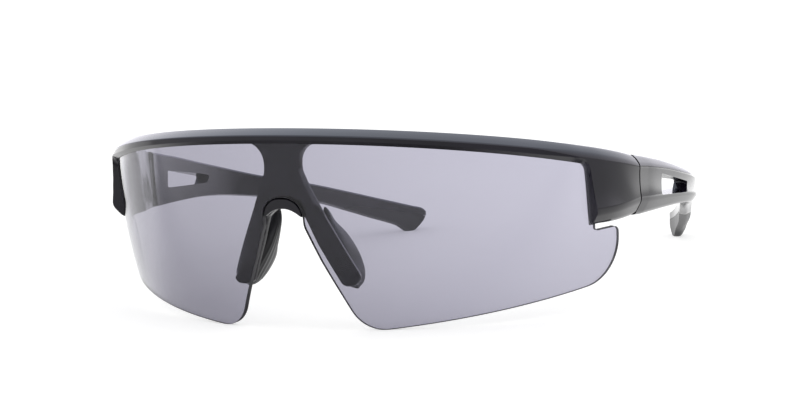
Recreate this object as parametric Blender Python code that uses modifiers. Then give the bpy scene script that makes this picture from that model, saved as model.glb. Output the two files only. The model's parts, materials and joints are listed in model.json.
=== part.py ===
"""Wraparound sports sunglasses: one shield lens under a brow bar, with two temples that fold on metal hinges.

The wearer looks along -Y. Left and right are the wearer's, so left is +X. The lens and the temple tips stand on z = 0,
and the origin is under the middle of the whole. The front is drawn unrolled, with x the way round it from the middle,
y the depth behind the lens's face and z the height, and is then bent round the head by bent().
"""

import math

import bmesh
import bpy
from mathutils import Matrix, Vector

# Lens surface
ROUND_RADIUS = 0.0768
UPRIGHT_RADIUS = 0.144
FRONT_TILT = math.radians(6.6)

# Lens
LENS_THICKNESS = 0.0015
LENS_EDGE = 0.0005
LENS_REACH = 0.0864
LENS_DROP = 0.02915
LOBE_RISE = 0.0177
LOBE_CORNER = 0.0105
LOBE_SLOPE = 0.0045
LOBE_SHOULDER = 0.0016
NOTCH_HALF_WIDTH = 0.0053
NOTCH_HEIGHT = 0.0049
LENS_HOLD = 0.0012
LENS_TOE_ROUND = 0.0090

# Brow bar and lugs
CREST_MIDDLE = 0.0210
CREST_SEAM = 0.0035
CREASE_MIDDLE = 0.0200
CREASE_SEAM = 0.0011
BAR_PROUD = 0.0010
BAR_BACK = 0.0035
BAR_TOP_DEPTH = 0.0037
BAR_EDGE_ROUND = 0.0006
WINDOW_TOP_MIDDLE = 0.0179
WINDOW_TOP_CORNER = 0.0053
WINDOW_BEVEL = 0.0012
WINDOW_CORNER = 0.0026
WINDOW_SPLAY_SHARE = 1.15
LUG_REACH = 0.0766
LUG_LENGTH = 0.0190
SEAM_REACH = LUG_REACH + LUG_LENGTH
LUG_LEAN = 0.0005
LUG_WALL_LEAN = 0.0006
LUG_BOTTOM = 0.0099
LUG_BOTTOM_FALL = 0.0024
LUG_SWELL = 0.0004
LUG_SINK = 0.0019
LUG_FLARE = 0.0013
LUG_HOLLOW = 0.0004
LUG_THICKNESS = 0.0056
LOWER_CREASE = 0.0078
LOWER_CREASE_RISE = 0.0014
LOWER_CHAMFER = 0.0026
UPPER_CHAMFER = 0.0024

# Bridge and pad legs
BRIDGE_THICKNESS = 0.0029
BRIDGE_HALF_WIDTH = 0.0050
BRIDGE_CHAMFER = 0.0009
BRIDGE_FRONT_EASE = 0.0004
LEG_DROP = 0.0178
LEG_SPREAD = 0.0187
LEG_WIDTH = 0.0058
LEG_END_ROUND = 0.0022
WINDOW_INNER_ROUND = 0.0046
ARCH_HALF_WIDTH = 0.0045
ARCH_HEIGHT = 0.0019
TENON_WIDTH = 0.0016
TENON_DEPTH = 0.0022
TENON_HEIGHT = 0.0060

# Nose pads
PAD_THICKNESS = 0.0030
PAD_HEIGHT = 0.0194
PAD_BOTTOM = 0.0099
PAD_BACK = 0.0185
PAD_SPREAD = 0.0143

# Temples
TEMPLE_LENGTH = 0.1233
TEMPLE_GAP = 0.0004
TEMPLE_WINDOW_START = 0.0136
TEMPLE_WINDOW_LENGTH = 0.0224
TEMPLE_WINDOW_HEIGHT = 0.0053
TEMPLE_WINDOW_DROP = 0.0093
TEMPLE_WINDOW_ROUND = 0.0005
GRIP_LENGTH = 0.0325
GRIP_HEIGHT = 0.0042

# Hinges
BARREL_RADIUS = 0.0015
BARREL_HEIGHT = 0.0080
BARREL_BOTTOM = 0.0270
KNUCKLE_SHARE = 0.3
HINGE_BORE = 0.0009
LEAF_DEPTH = 0.00045
LEAF_THICKNESS = 0.0010
LEAF_LENGTH = 0.0085
LEAF_CORNER = 0.0012
LEAF_SCREW_PLACE = 0.0055
LEAF_SCREW_RADIUS = 0.0005
LEAF_SCREW_LENGTH = 0.0029
LUG_SCREW_INSET = 0.0007
TEMPLE_SCREW_INSET = 0.0010
LEAF_SCREW_HEAD_RADIUS = 0.0009
LEAF_SCREW_HEAD = 0.0005
PIVOT_DEPTH = 0.0014
PIVOT_RADIUS = 0.00065
PIVOT_HEAD_RADIUS = 0.0014
PIVOT_HEAD = 0.0007
WASHER_RADIUS = 0.0015
WASHER_THICKNESS = 0.0003
SLOT_WIDTH = 0.0004
SLOT_DEPTH = 0.0003

# Fits, cuts and fineness
GAP = 0.0002
PAD_GAP = 0.0003
SWING_GAP = 0.0005
OVERRUN = 0.0030
BEND_STEP = 0.0032
RISE_STEP = 0.0060
WELD = 0.000002
SHARP_ANGLE = math.radians(28)
FLAT_ANGLE = math.radians(0.05)
BARREL_SIDES = 24
SCREW_SIDES = 16
ROUND_STEPS = 5

# Rows down a leg's outer edge: how far down the leg, how far out of its spread
LEG_OUTER_SHARES = (
    (-0.60, 0.272),
    (-0.45, 0.330),
    (-0.17, 0.455),
    (0.06, 0.562),
    (0.31, 0.682),
    (0.56, 0.802),
    (0.80, 0.917),
)

# Rows up a nose pad: height, then the front edge's and back edge's places as shares of its spread and its back reach,
# and how thick its outer side is there
PAD_SHARES = (
    (0.000, 0.985, 0.52, 0.975, 0.60, 1.0),
    (0.046, 0.925, 0.43, 0.955, 0.78, 1.0),
    (0.166, 0.835, 0.39, 0.890, 0.92, 1.0),
    (0.323, 0.705, 0.38, 0.800, 0.96, 1.1),
    (0.498, 0.575, 0.41, 0.720, 0.87, 1.9),
    (0.674, 0.490, 0.46, 0.620, 0.78, 2.1),
    (0.812, 0.455, 0.52, 0.520, 0.69, 2.1),
    (0.923, 0.450, 0.55, 0.475, 0.65, 2.0),
    (1.000, 0.440, 0.55, 0.455, 0.60, 1.6),
)

# Rows along a temple: length, then outer face, top, bottom and thickness as shares of those at the seam
TEMPLE_SHARES = (
    (0.033, 1.0060, 0.979, 0.989, 0.96),
    (0.082, 1.0105, 0.949, 0.982, 0.91),
    (0.156, 1.0115, 0.902, 0.970, 0.81),
    (0.253, 1.0100, 0.830, 0.950, 0.74),
    (0.335, 1.0015, 0.769, 0.914, 0.70),
    (0.400, 0.9810, 0.717, 0.873, 0.68),
    (0.482, 0.9330, 0.644, 0.802, 0.66),
    (0.579, 0.8690, 0.566, 0.708, 0.64),
    (0.677, 0.8120, 0.482, 0.570, 0.63),
    (0.759, 0.7640, 0.406, 0.412, 0.63),
    (0.840, 0.7150, 0.329, 0.250, 0.63),
    (0.914, 0.6620, 0.257, 0.100, 0.63),
    (0.946, 0.6350, 0.225, -0.020, 0.62),
    (0.966, 0.6170, 0.204, -0.020, 0.62),
    (0.988, 0.5960, 0.182, 0.080, 0.62),
    (1.000, 0.5855, 0.157, 0.175, 0.57),
)

# Rows along the grip's upper edge: how far along the grip, how high of the grip's height
GRIP_SHARES = ((0.00, 2.42), (0.20, 2.38), (0.45, 1.95), (0.92, 1.00), (1.10, 0.66))

# Corners of the temple's cut-out: along its length, up its height, outside and then inside
WINDOW_SHARES = (
    (0.03, 1.00, -0.09, 0.97),
    (0.00, 0.00, -0.11, 0.12),
    (0.92, -0.36, 0.97, -0.14),
    (1.00, 0.12, 1.05, 0.17),
)

HINGE_PIECES = (
    "hinge_front_leaf",
    "hinge_temple_leaf",
    "front_leaf_screw",
    "temple_leaf_screw",
    "pivot_screw",
    "hinge_washer",
)


def eased(value, start, end):
    """0 before start, 1 after end, and smooth between."""
    share = min(max((value - start) / (end - start), 0.0), 1.0)
    return share * share * (3.0 - 2.0 * share)


def falling(middle, seam, reach):
    """A height that falls as a parabola from the middle of the front to the seam."""
    return middle - (middle - seam) * (reach / SEAM_REACH) ** 2


def upright(point):
    """An unrolled point bent round the head, before the front stands on the floor."""
    sag = UPRIGHT_RADIUS - math.sqrt(UPRIGHT_RADIUS**2 - point.z**2)
    radius = ROUND_RADIUS - sag - point.y
    turn = point.x / ROUND_RADIUS
    out = radius * math.sin(turn)
    back = ROUND_RADIUS - radius * math.cos(turn)
    rise = back * math.sin(FRONT_TILT) + point.z * math.cos(FRONT_TILT)
    return Vector((out, back * math.cos(FRONT_TILT) - point.z * math.sin(FRONT_TILT), rise))


def rounded(corners, steps=ROUND_STEPS):
    """The closed outline through these (x, y, radius) corners, with each corner rounded by an arc."""
    points = []
    for index, (x, y, radius) in enumerate(corners):
        corner = Vector((x, y))
        before = Vector(corners[index - 1][:2]) - corner
        after = Vector(corners[(index + 1) % len(corners)][:2]) - corner
        half = before.angle(after) / 2
        if radius == 0 or math.pi / 2 - half < math.radians(1):
            points.append(corner)
            continue
        centre = corner + (before.normalized() + after.normalized()).normalized() * radius / math.sin(half)
        start = corner + before.normalized() * radius / math.tan(half) - centre
        sweep = math.copysign(math.pi - 2 * half, before.y * after.x - before.x * after.y)
        for step in range(steps + 1):
            points.append(centre + Matrix.Rotation(sweep * step / steps, 2) @ start)
    return points


def grown(outline, distance):
    """An outline moved outwards, for an outline drawn with its inside on the left."""
    points = []
    for index, point in enumerate(outline):
        before = (point - outline[index - 1]).normalized()
        after = (outline[(index + 1) % len(outline)] - point).normalized()
        outward = Vector((before.y + after.y, -before.x - after.x)).normalized()
        mitre = max(outward.x * before.y - outward.y * before.x, 0.5)
        points.append(point + outward * distance / mitre)
    return points


def window_top(reach):
    """The brow bar's lower edge, where the bare lens starts."""
    share = (reach / LUG_REACH) ** 2
    return WINDOW_TOP_MIDDLE - (WINDOW_TOP_MIDDLE - WINDOW_TOP_CORNER) * share


def lens_outline():
    """The lens's left half, from the middle round by the notch, the nose edge, the lobe and the held top edge."""
    shoulder = -LENS_DROP + LOBE_RISE
    held = LUG_REACH + LUG_LEAN + LENS_HOLD
    toe = LENS_DROP * 0.597
    corners = [
        (-OVERRUN, NOTCH_HEIGHT, 0),
        (NOTCH_HALF_WIDTH, NOTCH_HEIGHT, NOTCH_HALF_WIDTH * 0.88),
        (NOTCH_HALF_WIDTH, -LENS_DROP * 0.07, NOTCH_HALF_WIDTH),
        (LENS_DROP * 0.303, -LENS_DROP * 0.37, LENS_DROP),
        (toe, -LENS_DROP, LENS_TOE_ROUND),
        (LENS_REACH, LOBE_SLOPE - LENS_DROP, LOBE_CORNER),
        (LENS_REACH - LOBE_SHOULDER * 0.3, shoulder - LOBE_SHOULDER * 0.2, LOBE_SHOULDER),
        (held, shoulder, LOBE_SHOULDER * 0.5),
        (held, window_top(held) + LENS_HOLD, LENS_HOLD),
    ]
    outline = rounded(corners)
    steps = math.ceil((held + OVERRUN) / BEND_STEP)
    for step in range(steps - 1, -1, -1):
        reach = held * step / steps - OVERRUN * (1 - step / steps)
        outline.append(Vector((reach, window_top(reach) + LENS_HOLD)))
    return outline


LENS_OUTLINE = lens_outline()
FLOOR_DROP = min(upright(Vector((point.x, 0, point.y))).z for point in LENS_OUTLINE)


def bent(point):
    """An unrolled point in its place on the front, with the lens standing on the floor."""
    return upright(point) - Vector((0, 0, FLOOR_DROP))


def material(name, colour, roughness, metallic=0.0, transmission=0.0):
    made = bpy.data.materials.new(name)
    made.use_nodes = True
    shader = made.node_tree.nodes["Principled BSDF"]
    shader.inputs["Base Color"].default_value = (*colour, 1)
    shader.inputs["Roughness"].default_value = roughness
    shader.inputs["Metallic"].default_value = metallic
    shader.inputs["Transmission Weight"].default_value = transmission
    return made


def new_object(name, mesh, folder):
    made = bpy.data.objects.new(name, mesh)
    bpy.data.collections[folder].objects.link(made)
    if folder == "cutters":
        made.hide_render = True
        made.display_type = "WIRE"
    return made


def finished_mesh(name, shape):
    """The mesh of a bmesh, with its faces pointing out."""
    bmesh.ops.recalc_face_normals(shape, faces=shape.faces)
    mesh = bpy.data.meshes.new(name)
    shape.to_mesh(mesh)
    shape.free()
    return mesh


def loft(name, rings, folder="cutters"):
    """A closed solid through rings of equally many points."""
    shape = bmesh.new()
    rows = [[shape.verts.new(point) for point in ring] for ring in rings]
    for low, high in zip(rows, rows[1:]):
        for index in range(len(low)):
            after = (index + 1) % len(low)
            shape.faces.new((low[index], low[after], high[after], high[index]))
    shape.faces.new(rows[0])
    shape.faces.new(rows[-1])
    shape.normal_update()
    bmesh.ops.triangulate(shape, faces=shape.faces)
    return new_object(name, finished_mesh(name, shape), folder)


def plate(name, outlines, depths, folder="cutters"):
    """A plate in the unrolled front, through one outline at each depth."""
    rings = [[Vector((point.x, depth, point.y)) for point in outline] for outline, depth in zip(outlines, depths)]
    return loft(name, rings, folder)


def with_boolean(target, tool, operation):
    modifier = target.modifiers.new(tool.name, "BOOLEAN")
    modifier.operation = operation
    modifier.object = tool
    return target


def cut(target, tool):
    return with_boolean(target, tool, "DIFFERENCE")


def join(target, tool):
    return with_boolean(target, tool, "UNION")


def common(target, tool):
    return with_boolean(target, tool, "INTERSECT")


def apply_modifiers(target):
    """Puts what the modifiers make into the mesh itself."""
    graph = bpy.context.evaluated_depsgraph_get()
    made = bpy.data.meshes.new_from_object(target.evaluated_get(graph))
    target.modifiers.clear()
    target.data = made


def bend(target, mirrored=False):
    """Cuts an unrolled shape into narrow strips and bends it round the head."""
    apply_modifiers(target)
    shape = bmesh.new()
    shape.from_mesh(target.data)
    bmesh.ops.dissolve_limit(shape, angle_limit=FLAT_ANGLE, verts=shape.verts, edges=shape.edges)
    for axis, step in ((0, BEND_STEP), (2, RISE_STEP)):
        normal = Vector((axis == 0, 0, axis == 2))
        places = [vert.co[axis] for vert in shape.verts]
        for count in range(math.ceil(min(places) / step), math.floor(max(places) / step) + 1):
            geometry = [*shape.verts, *shape.edges, *shape.faces]
            bmesh.ops.bisect_plane(shape, geom=geometry, dist=WELD, plane_co=normal * step * count, plane_no=normal)
    if mirrored:
        geometry = [*shape.verts, *shape.edges, *shape.faces]
        ahead = Vector((1, 0, 0))
        bmesh.ops.bisect_plane(shape, geom=geometry, dist=WELD, plane_co=(0, 0, 0), plane_no=ahead, clear_inner=True)
    bmesh.ops.triangulate(shape, faces=shape.faces)
    for vert in shape.verts:
        vert.co = bent(vert.co)
        if mirrored and abs(vert.co.x) < WELD:
            vert.co.x = 0
    shape.to_mesh(target.data)
    shape.free()
    if mirrored:
        modifier = target.modifiers.new("mirror", "MIRROR")
        modifier.merge_threshold = WELD
    return target


def finish(target, finish_material, pivot=None):
    """Gives a part its material and smooth shading, and its origin on its joint's axis."""
    apply_modifiers(target)
    target.data.materials.clear()
    target.data.materials.append(finish_material)
    target.data.shade_smooth()
    target.data.set_sharp_from_angle(angle=SHARP_ANGLE)
    world = target.matrix_world.copy()
    target.data.transform(world)
    target.matrix_world = Matrix.Identity(4)
    if pivot:
        target.data.transform(Matrix.Translation(-pivot))
        target.location = pivot
    return target


def brow_face(reach):
    """Depth of the outer face of the bar and the lug: proud of the lens, and sinking towards the seam."""
    past = max(reach - LUG_REACH, 0.0) / LUG_LENGTH
    swell = LUG_SWELL * eased(reach, LUG_REACH * 0.8, LUG_REACH)
    return -BAR_PROUD - swell + (LUG_SINK + LUG_SWELL) * past**2


def lug_flare(reach):
    """How far the lug's lower crease stands out past its upper one."""
    return LUG_FLARE * (1 - eased(reach, LUG_REACH + LUG_FLARE * 3, SEAM_REACH))


def profile(face, low_face, back, crest, crease, low_crease, bottom, chamfers):
    """The nine corners (depth, height) of a section, from the upper crease round by the back to the hollow face."""
    top_chamfer, low_chamfer = chamfers
    middle = (crease + low_crease) / 2
    hollow = LUG_HOLLOW * (crease - low_crease) / (CREASE_SEAM + LOWER_CREASE)
    return (
        (face, crease),
        (face + top_chamfer / 2, crease + (crest - crease) * 0.62),
        (face + top_chamfer, crest),
        (back - BAR_EDGE_ROUND, crest - BAR_EDGE_ROUND * 0.2),
        (back, crest - BAR_EDGE_ROUND),
        (back, bottom + BAR_EDGE_ROUND),
        (low_face + low_chamfer, bottom),
        (low_face, low_crease),
        ((face + low_face) / 2 + min(hollow, LUG_HOLLOW), middle),
    )


def brow_profile(reach):
    """The section of the bar and the lug at this reach."""
    lug = eased(reach, LUG_REACH * 0.8, LUG_REACH + LUG_LEAN)
    face = brow_face(reach)
    low_face = face - lug_flare(reach)
    back = BAR_BACK + (face + LUG_THICKNESS - BAR_BACK) * lug
    past = max(reach - LUG_REACH, 0.0) / LUG_LENGTH
    bottom = -LUG_BOTTOM - LUG_BOTTOM_FALL * past
    low_crease = -LOWER_CREASE + LOWER_CREASE_RISE * (1 - past)
    top_chamfer = BAR_TOP_DEPTH + (UPPER_CHAMFER - BAR_TOP_DEPTH) * (reach / SEAM_REACH) ** 2
    crest = falling(CREST_MIDDLE, CREST_SEAM, reach)
    crease = falling(CREASE_MIDDLE, CREASE_SEAM, reach)
    return profile(face, low_face, back, crest, crease, low_crease, bottom, (top_chamfer, LOWER_CHAMFER))


def brow_ring(reach):
    return [Vector((reach, depth, height)) for depth, height in brow_profile(reach)]


def brow_bar():
    """The bar and the lug as one bar of changing section, before anything is cut from it."""
    steps = math.ceil(SEAM_REACH / BEND_STEP)
    places = [-OVERRUN, *(BEND_STEP * step for step in range(steps)), SEAM_REACH]
    rings = []
    for place in places:
        ring = brow_ring(abs(place))
        rings.append([Vector((place, point.y, point.z)) for point in ring])
    return loft("front_frame", rings, "sunglasses")


def window_cutter():
    """What the front leaves bare below the bar and inside the lug, with a bevel round it in front of the lens."""
    below = -LUG_BOTTOM - OVERRUN
    lean = LUG_LEAN * (WINDOW_TOP_CORNER - below) / (WINDOW_TOP_CORNER + LUG_BOTTOM)
    steps = math.ceil((LUG_REACH + OVERRUN) / BEND_STEP)
    corners = [(-OVERRUN, below, 0), (LUG_REACH + lean, below, 0), (LUG_REACH, WINDOW_TOP_CORNER, WINDOW_CORNER)]
    for step in range(steps - math.ceil(WINDOW_CORNER / BEND_STEP), -1, -1):
        reach = LUG_REACH * step / steps - OVERRUN * (1 - step / steps)
        corners.append((reach, window_top(abs(reach)), 0))
    outline = rounded(corners)
    ahead = BAR_PROUD + LUG_FLARE + OVERRUN
    flared = grown(outline, WINDOW_BEVEL * ahead / BAR_PROUD)
    for near, far in zip(outline, flared):
        far.x = min(far.x, near.x + LUG_WALL_LEAN)
    splayed = [Vector((point.x * WINDOW_SPLAY_SHARE, point.y)) for point in outline]
    depths = (-ahead - GAP, -GAP, LENS_THICKNESS + GAP, LUG_THICKNESS + OVERRUN)
    return plate("window_cutter", (flared, outline, outline, splayed), depths)


def groove_cutter():
    """The groove that holds the lens's top edge and its end under the lug."""
    outline = grown(LENS_OUTLINE, GAP)
    return plate("groove_cutter", (outline, outline), (-GAP, LENS_THICKNESS + GAP))


def leg_outline():
    """The bridge and one leg, with the arch over the nose between them."""
    top = CREST_MIDDLE - BAR_EDGE_ROUND * 2
    inner_foot = LEG_SPREAD - LEG_WIDTH
    corners = [(-OVERRUN, ARCH_HEIGHT, 0)]
    for step in range(ROUND_STEPS + 1):
        share = step / ROUND_STEPS
        corners.append((ARCH_HALF_WIDTH * share, ARCH_HEIGHT * (1 - share**2), 0))
    corners += [
        (ARCH_HALF_WIDTH * 1.15, -ARCH_HEIGHT * 0.3, 0),
        (inner_foot * 0.60, -LEG_DROP * 0.40, LEG_DROP),
        (inner_foot, -LEG_DROP, LEG_END_ROUND),
        (LEG_SPREAD, -LEG_DROP, LEG_END_ROUND),
    ]
    for down, out in reversed(LEG_OUTER_SHARES):
        corners.append((LEG_SPREAD * out, -LEG_DROP * down, 0))
    window = window_top(BRIDGE_HALF_WIDTH)
    corners += [
        (BRIDGE_HALF_WIDTH, LEG_DROP * 0.66, 0),
        (BRIDGE_HALF_WIDTH, window - BAR_EDGE_ROUND, WINDOW_INNER_ROUND),
        (BRIDGE_HALF_WIDTH + WINDOW_INNER_ROUND * 2, window - BAR_EDGE_ROUND, 0),
        (BRIDGE_HALF_WIDTH + WINDOW_INNER_ROUND * 2, top, 0),
        (-OVERRUN, top, 0),
    ]
    return rounded(corners)


def bridge_plate():
    front = LENS_THICKNESS + GAP * 2
    outline = leg_outline()
    back = front + BRIDGE_THICKNESS
    eased_front = grown(outline, -BRIDGE_FRONT_EASE)
    eased_back = grown(outline, -BRIDGE_CHAMFER)
    depths = (front, front + BRIDGE_FRONT_EASE, back - BRIDGE_CHAMFER, back)
    return plate("bridge_plate", (eased_front, outline, outline, eased_back), depths)


def arch_lip():
    """The crescent that stands forward from the bridge and fills the top of the lens's notch."""
    half_width = NOTCH_HALF_WIDTH - GAP
    corners = [(-OVERRUN, ARCH_HEIGHT + GAP, 0)]
    for step in range(ROUND_STEPS):
        share = step / ROUND_STEPS
        corners.append((ARCH_HALF_WIDTH * share, ARCH_HEIGHT * (1 - share**2) + GAP, 0))
    corners += [
        (ARCH_HALF_WIDTH, GAP, 0),
        (half_width, GAP, 0),
        (half_width, NOTCH_HEIGHT - GAP, half_width * 0.88),
        (-OVERRUN, NOTCH_HEIGHT - GAP, 0),
    ]
    outline = rounded(corners)
    back = LENS_THICKNESS + GAP * 2 + BRIDGE_CHAMFER * 2
    return plate("arch_lip", (grown(outline, -GAP), outline, outline), (GAP, GAP * 3, back))


def tenon(name, side, room=0.0):
    """The rail behind a leg that a nose pad pushes on to, or with room its slot in the pad."""
    middle = LEG_SPREAD - LEG_WIDTH * 0.78
    upper = middle - TENON_HEIGHT * 0.42
    low, high = -LEG_DROP * 0.82, -LEG_DROP * 0.82 + TENON_HEIGHT
    half = TENON_WIDTH / 2
    corners = ((middle - half, low), (middle + half, low), (upper + half, high), (upper - half, high))
    outline = grown([Vector(corner) for corner in corners], room)
    back = LENS_THICKNESS + GAP * 2 + BRIDGE_THICKNESS
    depths = (back - BRIDGE_CHAMFER, back + TENON_DEPTH + room)
    made = plate(name, (outline, outline), depths)
    if side:
        bend(made)
        flip(made, side)
    return made


def flip(target, side):
    """Moves a left piece to the wearer's right when side is -1."""
    if side < 0:
        target.data.transform(Matrix.Diagonal((-1, 1, 1, 1)))
        target.data.flip_normals()
    return target


def leg_room(name, side):
    """The leg with a little room round it, which the pad has to stay clear of."""
    outline = grown(leg_outline(), PAD_GAP)
    back = LENS_THICKNESS + GAP * 2 + BRIDGE_THICKNESS + PAD_GAP
    return flip(bend(plate(name, (outline, outline), (0, back))), side)


class Hinge:
    """The left hinge: its pivot, and its leaves' frames, with x out, y back and z up from the pivot's axis."""

    def __init__(self):
        outer, inner = self.wall(SEAM_REACH + TEMPLE_GAP / 2)
        out = (outer - inner).normalized()
        self.pivot = Vector((*(inner + out * PIVOT_DEPTH), 0))
        before, after = self.wall(SEAM_REACH - LEAF_LENGTH / 2)
        lug_out = before - after
        along = TEMPLE_SHARES[1]
        temple_out = Vector((TEMPLE_LENGTH * along[0], outer.x * (1 - along[1])))
        self.frames = {-1: self.frame(lug_out), 1: self.frame(temple_out)}

    def wall(self, reach):
        """The lug's outer and inner face at this reach, from above."""
        face, height = brow_face(reach), -LOWER_CREASE / 2
        places = (Vector((reach, depth, height)) for depth in (face, face + LUG_THICKNESS))
        return [bent(place).xy for place in places]

    def frame(self, out):
        return Matrix.Translation(self.pivot) @ Matrix.Rotation(math.atan2(out.y, out.x), 4, "Z")

    def pivot_on(self, side):
        return Vector((self.pivot.x * side, self.pivot.y, 0))


HINGE = Hinge()


def box(name, way, low, high):
    """A box in the frame of the lug's leaf (way -1) or of the temple's (way 1)."""
    shape = bmesh.new()
    size = Vector(high) - Vector(low)
    place = Matrix.Translation((Vector(high) + Vector(low)) / 2) @ Matrix.Diagonal((*size, 1))
    bmesh.ops.create_cube(shape, size=1, matrix=HINGE.frames[way] @ place)
    return new_object(name, finished_mesh(name, shape), "cutters")


def cylinder(name, radius, ends, place, sides, folder):
    """A cylinder between these ends, in the place that a matrix gives."""
    low, high = ends
    shape = bmesh.new()
    middle = Matrix.Translation((0, 0, (low + high) / 2))
    size = {"segments": sides, "radius1": radius, "radius2": radius, "depth": high - low}
    bmesh.ops.create_cone(shape, cap_ends=True, matrix=place @ middle, **size)
    return new_object(name, finished_mesh(name, shape), folder)


def pin(name, radius, ends, sides=BARREL_SIDES, folder="cutters"):
    """An upright cylinder on the pivot's axis."""
    return cylinder(name, radius, ends, HINGE.frames[1], sides, folder)


def cross_pin(name, way, radius, ends, folder="cutters"):
    """A cylinder across a leaf, where its screw is."""
    height = BARREL_BOTTOM + BARREL_HEIGHT / 2
    place = Matrix.Translation((0, way * (BARREL_RADIUS + LEAF_SCREW_PLACE), height))
    across = Matrix.Rotation(math.pi / 2, 4, "Y")
    return cylinder(name, radius, ends, HINGE.frames[way] @ place @ across, SCREW_SIDES, folder)


def leaf_depths():
    """The leaf's two faces, as distances out from the pivot's axis."""
    return LEAF_DEPTH, LEAF_DEPTH + LEAF_THICKNESS


def hinge_leaf(name, way, knuckles):
    """A leaf that runs from the barrel forwards (way -1) or back (way 1), with knuckles at these heights."""
    bottom, top = BARREL_BOTTOM, BARREL_BOTTOM + BARREL_HEIGHT
    start, end = BARREL_RADIUS + SWING_GAP, BARREL_RADIUS + LEAF_LENGTH
    corners = [(start, top, 0), (end, top, LEAF_CORNER), (end, bottom, LEAF_CORNER), (start, bottom, 0)]
    for foot, head in knuckles:
        low, high = foot + GAP / 2, head - GAP / 2
        corners += [(start, low, 0), (0, low, 0), (0, high, 0), (start, high, 0)]
    outline = rounded(corners)
    frame = HINGE.frames[way]
    rings = [[frame @ Vector((out, way * point.x, point.y)) for point in outline] for out in leaf_depths()]
    made = loft(name, rings, "sunglasses")
    for count, ends in enumerate(knuckles):
        made = join(made, pin(f"{name}_knuckle_{count}", BARREL_RADIUS, ends))
    made = cut(made, pin(f"{name}_bore", HINGE_BORE, (0, top * 2), SCREW_SIDES))
    return cut(made, cross_pin(f"{name}_hole", way, LEAF_SCREW_RADIUS + GAP, (-OVERRUN, OVERRUN)))


def screw_start(way):
    """How far in from the pivot's axis a leaf's screw starts, which is just below the plastic's inner face."""
    return -LUG_SCREW_INSET if way < 0 else -TEMPLE_SCREW_INSET


def leaf_screw(name, way):
    """The screw that holds a leaf, with its head sunk in the inner face."""
    start = screw_start(way)
    made = cross_pin(name, way, LEAF_SCREW_HEAD_RADIUS, (start, start + LEAF_SCREW_HEAD), "sunglasses")
    shank = (start + LEAF_SCREW_HEAD / 2, start + LEAF_SCREW_LENGTH)
    made = join(made, cross_pin(f"{name}_shank", way, LEAF_SCREW_RADIUS, shank))
    half, reach = SLOT_WIDTH / 2, LEAF_SCREW_HEAD_RADIUS * 2
    along = way * (BARREL_RADIUS + LEAF_SCREW_PLACE)
    height = BARREL_BOTTOM + BARREL_HEIGHT / 2
    low = (start - OVERRUN, along - reach, height - half)
    high = (start + SLOT_DEPTH, along + reach, height + half)
    return cut(made, box(f"{name}_slot", way, low, high))


def pivot_screw(name):
    """The screw up through the barrel, with its head below."""
    head_top = BARREL_BOTTOM - WASHER_THICKNESS - GAP
    foot = head_top - PIVOT_HEAD
    made = pin(name, PIVOT_HEAD_RADIUS, (foot, head_top), folder="sunglasses")
    top = BARREL_BOTTOM + BARREL_HEIGHT - GAP
    made = join(made, pin(f"{name}_shank", PIVOT_RADIUS, (foot + PIVOT_HEAD / 2, top), SCREW_SIDES))
    half, reach = SLOT_WIDTH / 2, PIVOT_HEAD_RADIUS * 2
    return cut(made, box(f"{name}_slot", 1, (-reach, -half, foot - OVERRUN), (reach, half, foot + SLOT_DEPTH)))


def washer(name):
    top = BARREL_BOTTOM - GAP / 2
    made = pin(name, WASHER_RADIUS, (top - WASHER_THICKNESS, top), folder="sunglasses")
    return cut(made, pin(f"{name}_bore", HINGE_BORE, (0, top * 2), SCREW_SIDES))


def hinge_room(name, way):
    """What a hinge needs cut from the lug (way -1) or from the temple (way 1)."""
    room = BARREL_RADIUS + SWING_GAP
    bottom, top = BARREL_BOTTOM, BARREL_BOTTOM + BARREL_HEIGHT
    barrel = pin(f"{name}_barrel", room, (0, top * 2))
    corner_low = (-room - OVERRUN, -room, -OVERRUN)
    corner = box(f"{name}_corner", way, corner_low, (-room / 2, room, top * 2))
    low, high = leaf_depths()
    ends = sorted((0, way * (BARREL_RADIUS + LEAF_LENGTH + GAP)))
    slot = box(f"{name}_slot", way, (low - GAP, ends[0], bottom - GAP), (high + GAP, ends[1], top + GAP))
    start = screw_start(way)
    seat_end = start + LEAF_SCREW_HEAD + GAP / 2
    seat = cross_pin(f"{name}_seat", way, LEAF_SCREW_HEAD_RADIUS + GAP, (-OVERRUN, seat_end))
    hole = cross_pin(f"{name}_hole", way, LEAF_SCREW_RADIUS + GAP, (start, start + LEAF_SCREW_LENGTH + GAP))
    return barrel, corner, slot, seat, hole


def front_frame(black):
    """The bar, the lugs, the bridge and the legs, moulded in one."""
    frame = cut(brow_bar(), window_cutter())
    apply_modifiers(frame)
    frame = join(frame, bridge_plate())
    apply_modifiers(frame)
    frame = cut(frame, groove_cutter())
    apply_modifiers(frame)
    frame = join(join(frame, arch_lip()), tenon("tenon", 0))
    bend(frame, mirrored=True)
    for side, name in ((1, "left"), (-1, "right")):
        for cutter in hinge_room(f"{name}_lug", -1):
            cut(frame, flip(cutter, side))
    return finish(frame, black)


def lens(smoke):
    outline = LENS_OUTLINE
    inset = grown(outline, -LENS_EDGE)
    made = plate("lens", (outline, outline, inset), (0, LENS_THICKNESS / 2, LENS_THICKNESS), "sunglasses")
    bend(made, mirrored=True)
    return finish(made, smoke)


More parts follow.
